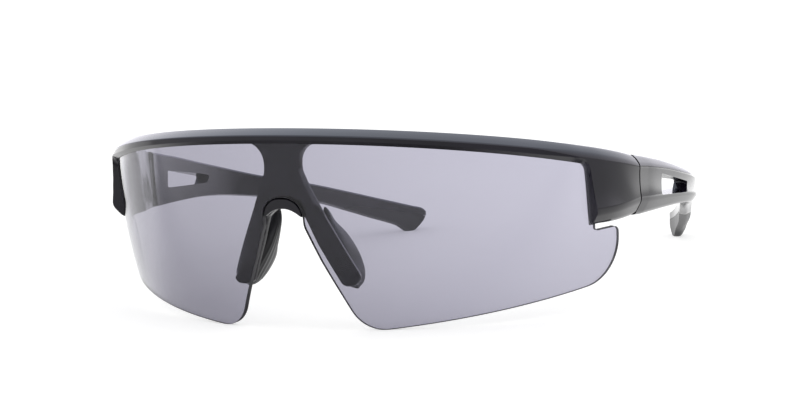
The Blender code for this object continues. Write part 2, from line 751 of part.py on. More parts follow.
def nose_pad(name, side, rubber):
    """A leaf of rubber behind a leg: thick along its front edge and thin along the back one."""
    rings = []
    for up, front_out, front_back, back_out, back_back, outer in PAD_SHARES:
        front = Vector((PAD_SPREAD * front_out, PAD_BACK * front_back))
        back = Vector((PAD_SPREAD * back_out, PAD_BACK * back_back))
        run = back - front
        nose = Vector((-run.y, run.x)).normalized()
        swell = PAD_THICKNESS * (0.22 + 0.78 * math.sin(math.pi * (0.15 + 0.80 * up)))
        ring = (
            front + nose * swell * 0.10,
            front + run * 0.22 + nose * swell * 0.42,
            front + run * 0.62 + nose * swell * 0.46,
            back + nose * swell * 0.12,
            back - nose * swell * outer * 0.22,
            front + run * 0.66 - nose * swell * outer * 0.46,
            front + run * 0.25 - nose * swell * outer * 0.62,
            front - nose * swell * outer * 0.45,
        )
        rings.append([Vector((point.x, point.y, PAD_BOTTOM + PAD_HEIGHT * up)) for point in ring])
    made = flip(loft(name, rings, "sunglasses"), side)
    cut(made, leg_room(f"{name}_room", side))
    cut(made, tenon(f"{name}_slot", side, PAD_GAP))
    return finish(made, rubber)


def seam_section():
    """The temple's front end: the lug's own section, a gap past the seam."""
    return [bent(Vector((SEAM_REACH + TEMPLE_GAP, point.y, point.z))) for point in brow_ring(SEAM_REACH)]


def between(rows, steps):
    """The rows with more of them between, on smooth curves through them all."""
    made = []
    for index in range(len(rows) - 1):
        around = [rows[max(index - 1, 0)], rows[index], rows[index + 1], rows[min(index + 2, len(rows) - 1)]]
        for step in range(steps):
            share = step / steps
            weights = (
                (-share + 2 * share**2 - share**3) / 2,
                (2 - 5 * share**2 + 3 * share**3) / 2,
                (share + 4 * share**2 - 3 * share**3) / 2,
                (-(share**2) + share**3) / 2,
            )
            made.append([sum(w * row[item] for w, row in zip(weights, around)) for item in range(len(rows[0]))])
    return [*made, list(rows[-1])]


def temple_rings():
    """The temple's sections, from the seam to the tip."""
    first = seam_section()
    outer, top, bottom = first[7], first[2].z, first[6].z
    rows = between([(0, 1, 1, 1, 1), *TEMPLE_SHARES], 2)
    path = [Vector((outer.x * row[1], outer.y + TEMPLE_LENGTH * row[0])) for row in rows]
    rings = [first]
    for index in range(2, len(rows)):
        ahead = (path[min(index + 1, len(path) - 1)] - path[index - 1]).normalized()
        inward = Vector((-ahead.y, ahead.x))
        crest, foot = top * rows[index][2], bottom * rows[index][3]
        height = crest - foot
        scale = height / (top - bottom)
        thick = LUG_THICKNESS * rows[index][4]
        share = thick / LUG_THICKNESS
        chamfers = (UPPER_CHAMFER * share, LOWER_CHAMFER * share)
        crease = crest - (CREST_SEAM - CREASE_SEAM) * scale
        low_crease = foot + (LUG_BOTTOM + LUG_BOTTOM_FALL - LOWER_CREASE) * scale
        section = profile(0, 0, thick, crest, crease, low_crease, foot, chamfers)
        rings.append([Vector((*(path[index] + inward * depth), rise)) for depth, rise in section])
    return rings


def temple_window(name, side):
    """The cut-out through the front of the temple, smaller inside than outside."""
    seam = seam_section()
    outer, foot = seam[7], seam[0].z - TEMPLE_WINDOW_DROP
    rings = []
    inside = LUG_THICKNESS * TEMPLE_SHARES[2][4]
    for column, shift in ((0, OVERRUN), (0, 0), (2, -inside), (2, -inside - OVERRUN)):
        corners = []
        for row in WINDOW_SHARES:
            along = outer.y + TEMPLE_WINDOW_START + TEMPLE_WINDOW_LENGTH * row[column]
            corners.append((along, foot + TEMPLE_WINDOW_HEIGHT * row[column + 1], TEMPLE_WINDOW_ROUND))
        rings.append([Vector((outer.x + shift, point.x, point.y)) for point in rounded(corners)])
    return flip(loft(name, rings), side)


def grip_region(name, side, room, floor=-OVERRUN):
    """The block whose part inside the temple is the rubber grip, less room all round, down to a floor."""
    end = seam_section()[7].y + TEMPLE_LENGTH
    start = end - GRIP_LENGTH
    upper = [Vector((start + GRIP_LENGTH * along, GRIP_HEIGHT * high - room)) for along, high in GRIP_SHARES]
    upper[0].x += room
    outline = [*upper, Vector((upper[-1].x, floor)), Vector((upper[0].x, floor))]
    reach = HINGE.pivot.x + LUG_THICKNESS + OVERRUN
    rings = [[Vector((out, point.x, point.y)) for point in outline] for out in (0, reach)]
    return flip(loft(name, rings), side)


def temple(name, side, black):
    made = flip(loft(name, temple_rings(), "sunglasses"), side)
    cut(made, temple_window(f"{name}_window", side))
    cut(made, grip_region(f"{name}_grip_room", side, 0))
    for cutter in hinge_room(name, 1):
        cut(made, flip(cutter, side))
    return finish(made, black, HINGE.pivot_on(side))


def temple_grip(name, side, rubber):
    made = flip(loft(name, temple_rings(), "sunglasses"), side)
    common(made, grip_region(f"{name}_region", side, GAP, 0))
    return finish(made, rubber, HINGE.pivot_on(side))


def hinge_parts(word, side, steel, nylon):
    """The two leaves, their screws, the pivot screw and its washer."""
    lower = BARREL_BOTTOM + BARREL_HEIGHT * KNUCKLE_SHARE
    upper = BARREL_BOTTOM + BARREL_HEIGHT * (1 - KNUCKLE_SHARE)
    top = BARREL_BOTTOM + BARREL_HEIGHT
    outer_knuckles = ((BARREL_BOTTOM, lower - GAP / 2), (upper + GAP / 2, top))
    middle_knuckle = ((lower + GAP / 2, upper - GAP / 2),)
    pivot = HINGE.pivot_on(side)
    finish(hinge_leaf(f"{word}_hinge_front_leaf", -1, outer_knuckles), steel)
    finish(hinge_leaf(f"{word}_hinge_temple_leaf", 1, middle_knuckle), steel)
    finish(leaf_screw(f"{word}_front_leaf_screw", -1), steel)
    finish(leaf_screw(f"{word}_temple_leaf_screw", 1), steel)
    finish(pivot_screw(f"{word}_pivot_screw"), steel)
    finish(washer(f"{word}_hinge_washer"), nylon)
    for piece in HINGE_PIECES:
        made = bpy.data.objects[f"{word}_{piece}"]
        flip(made, side)
        if "temple" in piece:
            made.data.transform(Matrix.Translation(-pivot))
            made.location = pivot


def centre_over_origin():
    """Moves everything so that the middle of the whole's length is over the origin."""
    made = bpy.data.collections["sunglasses"].objects
    places = [item.location.y + vert.co.y for item in made for vert in item.data.vertices]
    middle = (min(places) + max(places)) / 2
    for item in made:
        item.location.y -= middle


def clear_scene():
    for item in list(bpy.data.objects):
        bpy.data.objects.remove(item)


def add_folders():
    for name in ("sunglasses", "cutters"):
        folder = bpy.data.collections.new(name)
        bpy.context.scene.collection.children.link(folder)


def main():
    clear_scene()
    add_folders()
    black = material("glossy_black_plastic", (0.01, 0.01, 0.012), 0.12)
    smoke = material("smoke_lens", (0.46, 0.45, 0.54), 0.03, transmission=1.0)
    rubber = material("black_rubber", (0.018, 0.018, 0.018), 0.6)
    steel = material("hinge_steel", (0.6, 0.6, 0.62), 0.3, metallic=1.0)
    nylon = material("clear_nylon", (0.8, 0.8, 0.78), 0.4)
    front_frame(black)
    lens(smoke)
    for word, side in (("left", 1), ("right", -1)):
        nose_pad(f"{word}_nose_pad", side, rubber)
        temple(f"{word}_temple", side, black)
        temple_grip(f"{word}_temple_grip", side, rubber)
        hinge_parts(word, side, steel, nylon)
    centre_over_origin()


main()
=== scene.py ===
"""Wraparound sports sunglasses in glossy black with a smoke lens, standing on a white studio floor."""

import json
import math

import bmesh
import bpy
from mathutils import Matrix, Vector


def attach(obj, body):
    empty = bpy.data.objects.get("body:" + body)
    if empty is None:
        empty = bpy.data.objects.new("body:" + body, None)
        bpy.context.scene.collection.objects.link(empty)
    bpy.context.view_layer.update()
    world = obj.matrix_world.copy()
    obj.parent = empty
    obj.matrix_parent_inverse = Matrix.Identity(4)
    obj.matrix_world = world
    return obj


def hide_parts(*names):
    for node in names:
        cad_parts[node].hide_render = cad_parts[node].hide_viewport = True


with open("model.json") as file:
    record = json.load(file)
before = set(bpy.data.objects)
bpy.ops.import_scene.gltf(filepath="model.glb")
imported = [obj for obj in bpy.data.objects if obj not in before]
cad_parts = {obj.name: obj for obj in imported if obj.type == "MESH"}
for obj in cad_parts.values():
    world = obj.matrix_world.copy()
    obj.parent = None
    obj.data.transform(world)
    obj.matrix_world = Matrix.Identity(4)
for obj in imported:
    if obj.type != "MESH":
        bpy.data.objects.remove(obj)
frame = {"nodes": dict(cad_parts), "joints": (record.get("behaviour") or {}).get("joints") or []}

bl_info = {
    "name": "Wraparound sunglasses",
    "version": (1, 0, 0),
    "blender": (4, 5, 0),
    "location": "3D View > Sidebar > Sunglasses",
    "description": "Builds the detailed sunglasses round their packed frame",
    "category": "Add Mesh",
}

MM = 0.001

# The front's curved face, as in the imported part
ROUND_RADIUS = 76.8 * MM
UPRIGHT_RADIUS = 144.0 * MM
FRONT_TILT = math.radians(6.6)
FLOOR_DROP = -27.82988 * MM
PIVOT_REST = Vector((67.88774 * MM, 54.13631 * MM, 0.0))
SETBACK = frame["joints"][0]["pos_m"][1] - PIVOT_REST.y

# Fineness
BEND_STEP = 1.6 * MM
RISE_STEP = 2.4 * MM
WELD = 0.002 * MM
ARC_STEPS = 8
PIN_STEPS = 48
TEMPLE_STEPS = 5
LENS_BEVEL_STEPS = 5
OVERRUN = 3.0 * MM
OPEN_END = -OVERRUN * 0.9
GAP = 0.2 * MM
MITRE_LIMIT = 0.5
STRAIGHT_ANGLE = math.radians(1)
FLAT_ANGLE = math.radians(0.05)
EDGE_ANGLE = math.radians(24)
SHADE_ANGLE = math.radians(40)

# Brow bar
BAR_BACK = 3.5 * MM
BAR_EDGE_ROUND = 0.6 * MM
BAR_EDGE_FALL = 0.2
BAR_CHAMFER_SWELL = 0.62
BAR_MIDDLE_CHAMFER = 3.7 * MM

# Lugs. Reach is the distance round the face from the middle.
LUG_REACH = 76.6 * MM
LUG_LENGTH = 19.0 * MM
LUG_START = LUG_REACH * 0.8
SEAM_REACH = LUG_REACH + LUG_LENGTH
LUG_LEAN = 0.5 * MM
LUG_WALL_LEAN = 0.6 * MM
WALL_ROUND = 0.9 * MM
LUG_BOTTOM = 9.9 * MM
LUG_BOTTOM_FALL = 2.4 * MM
LUG_SWELL = 0.4 * MM
LUG_SINK = 1.9 * MM
LUG_FLARE = 1.3 * MM
LUG_HOLLOW = 0.4 * MM
LUG_HOLLOW_SHARES = ((0.25, 0.75), (0.5, 1.0), (0.75, 0.75))
LOW_ROUND = 2.8 * MM
LUG_THICKNESS = 5.6 * MM
LEAF_COVER = 0.35 * MM
SCREW_COVER = 0.55 * MM
SCREW_COVER_FULL = 7.0 * MM
SCREW_COVER_END = 3.0 * MM
LOWER_CREASE = 7.8 * MM
LOWER_CREASE_RISE = 1.4 * MM
LOWER_CHAMFER = 2.6 * MM
UPPER_CHAMFER = 2.4 * MM

# The front's window for the lens
WINDOW_MIDDLE = 17.9 * MM
WINDOW_CORNER = 5.3 * MM
WINDOW_ROUND = 2.6 * MM
WINDOW_FLARE = 1.2 * MM
WINDOW_SPLAY = 1.15

# Bridge, legs and arch
LEG_DROP = 17.8 * MM
LEG_SPREAD = 18.7 * MM
LEG_WIDTH = 5.8 * MM
LEG_FOOT_ROUND = 2.2 * MM
LEG_INNER_BEND = (0.60, 0.40)
LEG_EASE = 0.4 * MM
LEG_CHAMFER = 0.9 * MM
RIDGE_INSET = 1.9 * MM
RIDGE_DEPTH = 1.1 * MM
RIDGE_TOP = 0.45
RIDGE_FULL = 0.35
BRIDGE_HALF_WIDTH = 5.0 * MM
BRIDGE_FILLET = 4.6 * MM
BRIDGE_FOOT = 0.66
ARCH_HALF_WIDTH = 4.5 * MM
ARCH_HEIGHT = 1.9 * MM
ARCH_FOOT = (1.15, 0.3)
LIP_DEPTH = 1.8 * MM

# Lens, with shares of its drop for the slant beside the nose
NOTCH_HALF_WIDTH = 5.3 * MM
NOTCH_HEIGHT = 4.9 * MM
NOTCH_ROUND = 0.88
NOTCH_FOOT = 0.07
SLANT_BEND = (0.303, 0.37)
SLANT_FOOT = 0.597
LOBE_ROUND = 9.0 * MM
LENS_END_RISE = 4.5 * MM
LENS_END_ROUND = 10.5 * MM
SHOULDER_RISE = 17.7 * MM
SHOULDER_ROUND = 1.6 * MM
SHOULDER_SLANT = (0.3, 0.2)
LENS_HOLD = 1.2 * MM
RIM_NORMAL = 0.9

# Temples and hinges
TEMPLE_LENGTH = 123.3 * MM
TEMPLE_GAP = 0.4 * MM
CREST_SEAM = 3.5 * MM
CREASE_SEAM = 1.1 * MM
HINGE_ROOM = 2.0 * MM
HINGE_TOP = 70.0 * MM
LUG_LEAF_BACK = 4.25 * MM
SLOT_START = 13.6 * MM
SLOT_LENGTH = 22.4 * MM
SLOT_HEIGHT = 5.3 * MM
SLOT_DROP = 9.3 * MM
SLOT_ROUND = 0.5 * MM
SLOT_INSIDE = LUG_THICKNESS * 0.81
GRIP_LENGTH = 32.5 * MM
GRIP_HEIGHT = 4.2 * MM
GRIP_ROOM = 0.1 * MM
GRIP_ROUND = 0.3 * MM

# Nose pads
PAD_SPREAD = 14.3 * MM
PAD_REACH = 18.5 * MM
PAD_BOTTOM = 9.9 * MM
PAD_THIN = 0.22
PAD_WAVE = (0.15, 0.80)
PAD_END = 0.07
PAD_END_SIZE = 0.35
PAD_STEPS = 10
PAD_RISES = 4
PAD_RIBS = 5
PAD_RIB_HEIGHT = 0.12 * MM

# Painted shade on the lens tint, darker low down and towards the viewer's left: its spans from the
# lowest height and from the viewer's left end
LENS_SHADE_RISE = 45 * MM
LENS_SHADE_ACROSS = (-45 * MM, 90 * MM)

# Floor: its size in metres, its glows, and the parts where polished faces see painted shade and a
# painted glow
FLOOR_SIZE = 6.0
FLOOR_GLOW = 0.54
FAR_GLOW = 3.0
FLOOR_AHEAD = (-0.115, -0.075)
FLOOR_UNDER = (-0.085, -0.05)
FLOOR_BESIDE = (0.14, 0.28)
FLOOR_FAR = (0.04, 0.34)
# How strongly polished faces see painted shade on the floor ahead, under and beside
REFLECTED_SHADE_AHEAD = 0.5
REFLECTED_SHADE_UNDER = 0.9
REFLECTED_SHADE_BESIDE = 0.4

# The tent: where each part sets in, then its lights, each a colour and a strength
TENT_BEHIND = (-0.1, 0.9)
TENT_RIGHT = (0.1, 1.0)
TENT_OVERHEAD = (0.1, 0.8)
TENT_RIGHT_SHARE = 0.5
PLAIN_LIGHT = ((1.0, 1.0, 1.0, 1.0), 1.0)
AHEAD_LIGHT = ((0.94, 0.93, 1.0, 1.0), 0.60)
REAR_LIGHT = ((0.94, 0.93, 1.0, 1.0), 1.85)
SKY_LIGHT = ((0.82, 0.88, 1.0, 1.0), 1.75)

# Camera
CAMERA_AZIMUTH = math.radians(24.148)
CAMERA_ELEVATION = math.radians(7.080)
CAMERA_ROLL = math.radians(-2.370)
CAMERA_PLACE = (266.33 * MM, -525.36 * MM, 104.09 * MM)
CAMERA_LENS = 112.55
CAMERA_SENSOR = 36.0
CAMERA_NEAR = 10 * MM

SIDES = (("left", 1), ("right", -1))
# Places of these corners in a bar's section
CREASE, CREST, BOTTOM, LOW_CREASE = 0, 2, 6, 7

# Down the leg, and out to its outer side
LEG_OUTER_SHARES = (
    *((-0.60, 0.272), (-0.45, 0.330), (-0.17, 0.455), (0.06, 0.562)),
    *((0.31, 0.682), (0.56, 0.802), (0.80, 0.917)),
)
# Along the temple: its outer side, top and foot, and its thickness
TEMPLE_SHARES = (
    (0.0, 1.0, 1.0, 1.0, 1.0),
    (0.033, 1.006, 0.979, 0.989, 0.96),
    (0.082, 1.0105, 0.949, 0.982, 0.91),
    (0.156, 1.0115, 0.902, 0.970, 0.81),
    (0.253, 1.010, 0.830, 0.950, 0.74),
    (0.335, 1.0015, 0.769, 0.914, 0.70),
    (0.400, 0.981, 0.717, 0.873, 0.68),
    (0.482, 0.933, 0.644, 0.802, 0.66),
    (0.579, 0.869, 0.566, 0.708, 0.64),
    (0.677, 0.812, 0.482, 0.570, 0.63),
    (0.759, 0.764, 0.406, 0.412, 0.63),
    (0.840, 0.715, 0.329, 0.250, 0.63),
    (0.914, 0.662, 0.257, 0.100, 0.63),
    (0.946, 0.635, 0.225, -0.020, 0.62),
    (0.966, 0.617, 0.204, -0.020, 0.62),
    (0.988, 0.596, 0.182, 0.080, 0.62),
    (1.000, 0.5855, 0.157, 0.175, 0.57),
)
# Along the grip, and up to its upper edge
GRIP_SHARES = ((0.00, 2.42), (0.20, 2.38), (0.45, 1.95), (0.92, 1.00), (1.10, 0.66))
# Corners of the temple's slot: along and up on its outer side, then on its inner side
SLOT_SHARES = (
    (0.03, 1.00, -0.09, 0.97),
    (0.00, 0.00, -0.11, 0.12),
    (0.92, -0.36, 0.97, -0.14),
    (1.00, 0.12, 1.05, 0.17),
)
# Up the pad: its front edge out and back, its back edge out and back, and how thick it is outwards
PAD_SHARES = (
    (0.000, 0.985, 0.52, 0.975, 0.60, 1.0),
    (0.046, 0.925, 0.43, 0.955, 0.78, 1.0),
    (0.166, 0.835, 0.39, 0.890, 0.92, 1.0),
    (0.323, 0.705, 0.38, 0.800, 0.96, 1.1),
    (0.498, 0.575, 0.41, 0.720, 0.87, 1.9),
    (0.674, 0.490, 0.46, 0.620, 0.78, 2.1),
    (0.812, 0.455, 0.52, 0.520, 0.69, 1.7),
    (0.923, 0.450, 0.55, 0.475, 0.65, 1.2),
    (1.000, 0.440, 0.55, 0.455, 0.60, 0.9),
)
# Round a pad, along to its back edge and out towards the nose
PAD_INNER = ((0.00, 0.10), (0.22, 0.42), (0.62, 0.46), (1.00, 0.12))
PAD_OUTER = ((1.00, -0.22), (0.66, -0.46), (0.25, -0.62), (0.00, -0.45))


def length(name, text, size):
    settings = {"subtype": "DISTANCE", "unit": "LENGTH"}
    return bpy.props.FloatProperty(name=name, description=text, default=size, **settings)


def colour(name, text, value):
    settings = {"subtype": "COLOR", "size": 3, "min": 0.0, "max": 1.0}
    return bpy.props.FloatVectorProperty(name=name, description=text, default=value, **settings)


class SunglassesSizes(bpy.types.PropertyGroup):
    lens_thickness: length("Lens thickness", "Thickness of the shield lens", 1.5 * MM)
    lens_reach: length("Lens reach", "From the middle round to the lobe's end", 86.4 * MM)
    lens_drop: length("Lens drop", "From the face's middle line down to the lobes", 29.15 * MM)
    lens_bevel: length("Lens edge", "Bevel round the lens's edge", 0.5 * MM)
    crest: length("Bar crest", "Height of the bar's back edge at the middle", 21.0 * MM)
    crease: length("Bar crease", "Height of the bar's front crease at the middle", 20.0 * MM)
    bar_proud: length("Bar stand-out", "How far the bar stands out in front of the lens", 1.0 * MM)
    edge_round: length("Moulded edge", "Rounding along the front's cut edges", 0.28 * MM)
    crease_round: length("Crease rounding", "Rounding along the bar's creases", 0.45 * MM)
    temple_round: length("Temple rounding", "Rounding along the lugs' and temples' creases", 2.1 * MM)
    bridge_thickness: length("Bridge thickness", "Thickness of the bridge and the legs", 2.9 * MM)
    pad_thickness: length("Pad thickness", "Thickness of a nose pad", 3.0 * MM)
    pad_height: length("Pad height", "Height of a nose pad", 19.4 * MM)


class SunglassesColours(bpy.types.PropertyGroup):
    plastic: colour("Plastic", "Glossy black of the front and the temples", (0.007, 0.006, 0.011))
    lens: colour("Lens", "Smoke tint of the lens", (0.47, 0.46, 0.545))
    rubber: colour("Rubber", "Soft black of the pads and the grips", (0.012, 0.012, 0.013))
    steel: colour("Steel", "Blackened steel of the hinges", (0.035, 0.035, 0.038))
    nylon: colour("Nylon", "Washers in the hinges", (0.10, 0.10, 0.10))
    floor: colour("Floor", "White of the studio floor", (1.0, 1.0, 1.0))


def sizes():
    return bpy.context.scene.sunglasses_sizes


def colours():
    return bpy.context.scene.sunglasses_colours


def eased(value, start, end):
    """0 up to the start, 1 from the end on and smooth between."""
    share = min(max((value - start) / (end - start), 0.0), 1.0)
    return share * share * (3.0 - 2.0 * share)


def bent(point):
    """An unrolled point (round, behind the face, up) in its place on the front."""
    sag = UPRIGHT_RADIUS - math.sqrt(UPRIGHT_RADIUS**2 - point.z**2)
    radius = ROUND_RADIUS - sag - point.y
    turn = point.x / ROUND_RADIUS
    back = ROUND_RADIUS - radius * math.cos(turn)
    cosine, sine = math.cos(FRONT_TILT), math.sin(FRONT_TILT)
    place = Vector((radius * math.sin(turn), back * cosine - point.z * sine, 0.0))
    place.z = back * sine + point.z * cosine - FLOOR_DROP
    place.y += SETBACK
    return place


def rounded(corners, steps=ARC_STEPS):
    """The closed outline through these (x, y, radius) corners, with an arc round each."""
    points = []
    for index, (x, y, radius) in enumerate(corners):
        corner = Vector((x, y))
        before = Vector(corners[index - 1][:2]) - corner
        after = Vector(corners[(index + 1) % len(corners)][:2]) - corner
        half = before.angle(after) / 2
        if radius == 0 or math.pi / 2 - half < STRAIGHT_ANGLE:
            points.append(corner)
            continue
        inwards = (before.normalized() + after.normalized()).normalized()
        centre = corner + inwards * radius / math.sin(half)
        start = corner + before.normalized() * radius / math.tan(half) - centre
        sweep = math.copysign(math.pi - 2 * half, before.y * after.x - before.x * after.y)
        for step in range(steps + 1):
            points.append(centre + Matrix.Rotation(sweep * step / steps, 2) @ start)
    return points


def grown(outline, distance):
    """The closed outline moved outwards by a distance."""
    points = []
    for index, point in enumerate(outline):
        before = (point - outline[index - 1]).normalized()
        after = (outline[(index + 1) % len(outline)] - point).normalized()
        outward = Vector((before.y + after.y, -before.x - after.x)).normalized()
        mitre = max(outward.x * before.y - outward.y * before.x, MITRE_LIMIT)
        points.append(point + outward * distance / mitre)
    return points


def window_top(reach):
    """The height of the lens window's upper edge at this reach."""
    return WINDOW_MIDDLE - (WINDOW_MIDDLE - WINDOW_CORNER) * (reach / LUG_REACH) ** 2


def loft(rings):
    """A closed solid bridged through rings of equally many points."""
    shape = bmesh.new()
    loops = []
    for ring in rings:
        verts = [shape.verts.new(point) for point in ring]
        loops.append([shape.edges.new((verts[i - 1], verts[i])) for i in range(len(verts))])
    for low, high in zip(loops, loops[1:]):
        bmesh.ops.bridge_loops(shape, edges=low + high)
    bmesh.ops.contextual_create(shape, geom=loops[0])
    bmesh.ops.contextual_create(shape, geom=loops[-1])
    bmesh.ops.recalc_face_normals(shape, faces=shape.faces)
    return shape


def plate(outlines, depths):
    """A plate in the unrolled front, through one outline at each depth."""
    pairs = zip(outlines, depths)
    return loft([[Vector((p.x, depth, p.y)) for p in outline] for outline, depth in pairs])


def block(low, high, place):
    """A box between two corners, in a place's axes."""
    shape = bmesh.new()
    size = Vector(high) - Vector(low)
    middle = Matrix.Translation((Vector(high) + Vector(low)) / 2)
    bmesh.ops.create_cube(shape, size=1, matrix=place @ middle @ Matrix.Diagonal((*size, 1)))
    return shape


def upright_pin(radius, low, high, place):
    """A cylinder about a place's upright axis."""
    shape = bmesh.new()
    middle = place @ Matrix.Translation((0, 0, (low + high) / 2))
    size = {"segments": PIN_STEPS, "radius1": radius, "radius2": radius, "depth": high - low}
    bmesh.ops.create_cone(shape, cap_ends=True, matrix=middle, **size)
    return shape


def linked(shape, name):
    """An object of this name in the scene that takes the shape over."""
    mesh = bpy.data.meshes.new(name)
    shape.to_mesh(mesh)
    shape.free()
    made = bpy.data.objects.new(name, mesh)
    bpy.context.scene.collection.objects.link(made)
    return made


def combined(shape, tool, operation):
    """The shape after a Boolean with the tool, as a new bmesh."""
    base, other = linked(shape, "shape"), linked(tool, "tool")
    modifier = base.modifiers.new("combine", "BOOLEAN")
    modifier.operation = operation
    modifier.solver = "EXACT"
    modifier.object = other
    graph = bpy.context.evaluated_depsgraph_get()
    mesh = bpy.data.meshes.new_from_object(base.evaluated_get(graph))
    made = bmesh.new()
    made.from_mesh(mesh)
    for used in (base.data, other.data, mesh):
        # An object goes with its mesh
        bpy.data.meshes.remove(used)
    return made


def cut(shape, tool):
    return combined(shape, tool, "DIFFERENCE")


def join(shape, tool):
    return combined(shape, tool, "UNION")


def common(shape, tool):
    return combined(shape, tool, "INTERSECT")


def sharp(edge):
    return edge.is_manifold and edge.calc_face_angle() > EDGE_ANGLE


def bevel(shape, edges, width, segments):
    settings = {"offset": width, "offset_type": "OFFSET", "affect": "EDGES", "segments": segments}
    bmesh.ops.bevel(shape, geom=edges, profile=0.5, material=-1, clamp_overlap=True, **settings)


def soften(shape, width, segments=2, keep=lambda edge: True, flat=lambda place: True):
    """Rounds the sharp edges to keep, after the flat places' neighbours are merged into one face."""
    verts = [vert for vert in shape.verts if flat(vert.co)]
    edges = [edge for edge in shape.edges if all(flat(vert.co) for vert in edge.verts)]
    bmesh.ops.dissolve_limit(shape, angle_limit=FLAT_ANGLE, verts=verts, edges=edges)
    bmesh.ops.remove_doubles(shape, verts=shape.verts, dist=WELD)
    bevel(shape, [edge for edge in shape.edges if sharp(edge) and keep(edge)], width, segments)


def strips(shape, tall):
    """Cuts a shape into strips along x, and its tall places into strips along z too."""
    for axis, step in ((0, BEND_STEP), (2, RISE_STEP)):
        normal = Vector((axis == 0, axis == 1, axis == 2))
        places = [vert.co[axis] for vert in shape.verts]
        for count in range(math.ceil(min(places) / step), math.floor(max(places) / step) + 1):
            faces = [f for f in shape.faces if axis == 0 or tall(f.calc_center_median())]
            edges = dict.fromkeys(edge for face in faces for edge in face.edges)
            verts = dict.fromkeys(vert for face in faces for vert in face.verts)
            plane = {"plane_co": normal * step * count, "plane_no": normal}
            bmesh.ops.bisect_plane(shape, geom=[*faces, *edges, *verts], dist=WELD, **plane)


def everything(shape):
    return [*shape.verts, *shape.edges, *shape.faces]


def bend(shape, tall=lambda place: True):
    """Cuts an unrolled half into narrow strips, bends it round the head and mirrors it."""
    strips(shape, tall)
    plane = {"plane_co": (0, 0, 0), "plane_no": Vector((1, 0, 0)), "clear_inner": True}
    bmesh.ops.bisect_plane(shape, geom=everything(shape), dist=WELD, **plane)
    for vert in shape.verts:
        vert.co = bent(vert.co)
        if abs(vert.co.x) < WELD:
            vert.co.x = 0
    bmesh.ops.mirror(shape, geom=everything(shape), axis="X", merge_dist=WELD)
    bmesh.ops.remove_doubles(shape, verts=shape.verts, dist=WELD)
    bmesh.ops.recalc_face_normals(shape, faces=shape.faces)


def turned(shape, side):
    """The left piece, or its mirror image for the wearer's right."""
    if side < 0:
        bmesh.ops.transform(shape, matrix=Matrix.Diagonal((-1, 1, 1, 1)), verts=shape.verts)
    bmesh.ops.recalc_face_normals(shape, faces=shape.faces)
    return shape


def piece(name, shape, body, finish, slot, *nodes):
    """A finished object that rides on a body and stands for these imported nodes."""
    made = linked(shape, name)
    made.data.shade_smooth()
    made.data.set_sharp_from_angle(angle=SHADE_ANGLE)
    made.data.materials.append(finish)
    weighted = made.modifiers.new("even shading", "WEIGHTED_NORMAL")
    weighted.keep_sharp = True
    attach(made, body)
    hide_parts(*nodes)


class Value:
    """One output of a shader node, with the operators that add Math nodes."""

    def __init__(self, paint, socket):
        self.paint = paint
        self.socket = socket

    def math(self, operation, first, second):
        return self.paint.node("ShaderNodeMath", {"operation": operation}, {0: first, 1: second})

    def __add__(self, other):
        return self.math("ADD", self, other)

    def __radd__(self, other):
        return self.math("ADD", other, self)

    def __rsub__(self, other):
        return self.math("SUBTRACT", other, self)

    def __mul__(self, other):
        return self.math("MULTIPLY", self, other)

    def above(self, low, high):
        """0 below low, 1 above high and smooth between."""
        inputs = {"Value": self, "From Min": low, "From Max": high}
        return self.paint.node("ShaderNodeMapRange", {"interpolation_type": "SMOOTHSTEP"}, inputs)


class Paint:
    """A node tree, and the methods that add nodes to it."""

    def __init__(self, owner):
        owner.use_nodes = True
        self.owner = owner
        self.tree = owner.node_tree
        self.tree.nodes.clear()

    def node(self, kind, settings=None, inputs=None, output=0):
        made = self.tree.nodes.new(kind)
        for name, value in (settings or {}).items():
            setattr(made, name, value)
        for name, value in (inputs or {}).items():
            if isinstance(value, Value):
                self.tree.links.new(value.socket, made.inputs[name])
            else:
                made.inputs[name].default_value = value
        return Value(self, made.outputs[output])

    def place(self, scale=(1, 1, 1)):
        """The object's own coordinates."""
        coords = self.node("ShaderNodeTexCoord", output="Object")
        return self.node("ShaderNodeMapping", {}, {"Vector": coords, "Scale": scale})

    def split(self, vector, *axes):
        """These axes of a vector."""
        inputs = {"Vector": vector}
        return [self.node("ShaderNodeSeparateXYZ", {}, inputs, output=axis) for axis in axes]

    def rays(self, *kinds):
        """Whether a ray is of each of these kinds, as 0 or 1."""
        return [self.node("ShaderNodeLightPath", output=f"Is {kind} Ray") for kind in kinds]

    def noise(self, scale, detail=2.0, roughness=0.5, stretch=(1, 1, 1)):
        inputs = {"Scale": scale, "Detail": detail, "Roughness": roughness}
        return self.node("ShaderNodeTexNoise", {}, {"Vector": self.place(stretch), **inputs})

    def blend(self, low, high, factor):
        settings = {"data_type": "RGBA", "clamp_factor": True}
        return self.node("ShaderNodeMix", settings, {"Factor": factor, "A": low, "B": high}, output=2)

    def bump(self, height, strength, distance):
        inputs = {"Height": height, "Strength": strength, "Distance": distance}
        return self.node("ShaderNodeBump", {}, inputs)

    def shader(self, inputs):
        return self.node("ShaderNodeBsdfPrincipled", {}, inputs)

    def light(self, kind, hue, strength):
        return self.node(kind, {}, {"Color": hue, "Strength": strength})

    def mix(self, factor, first, second):
        return self.node("ShaderNodeMixShader", {}, {0: factor, 1: first, 2: second})

    def solid(self, base, rough, normal, **more):
        """The material of an opaque piece."""
        inputs = {"Base Color": base, "Roughness": rough, "Normal": normal}
        return self.out(self.shader({**inputs, **more}))

    def out(self, surface, kind="ShaderNodeOutputMaterial"):
        made = self.tree.nodes.new(kind)
        self.tree.links.new(surface.socket, made.inputs["Surface"])
        return self.owner


def tone(rgb, times=1.0):
    """The colour this many times as bright, for a colour socket."""
    return (*(min(part * times, 1.0) for part in rgb), 1.0)


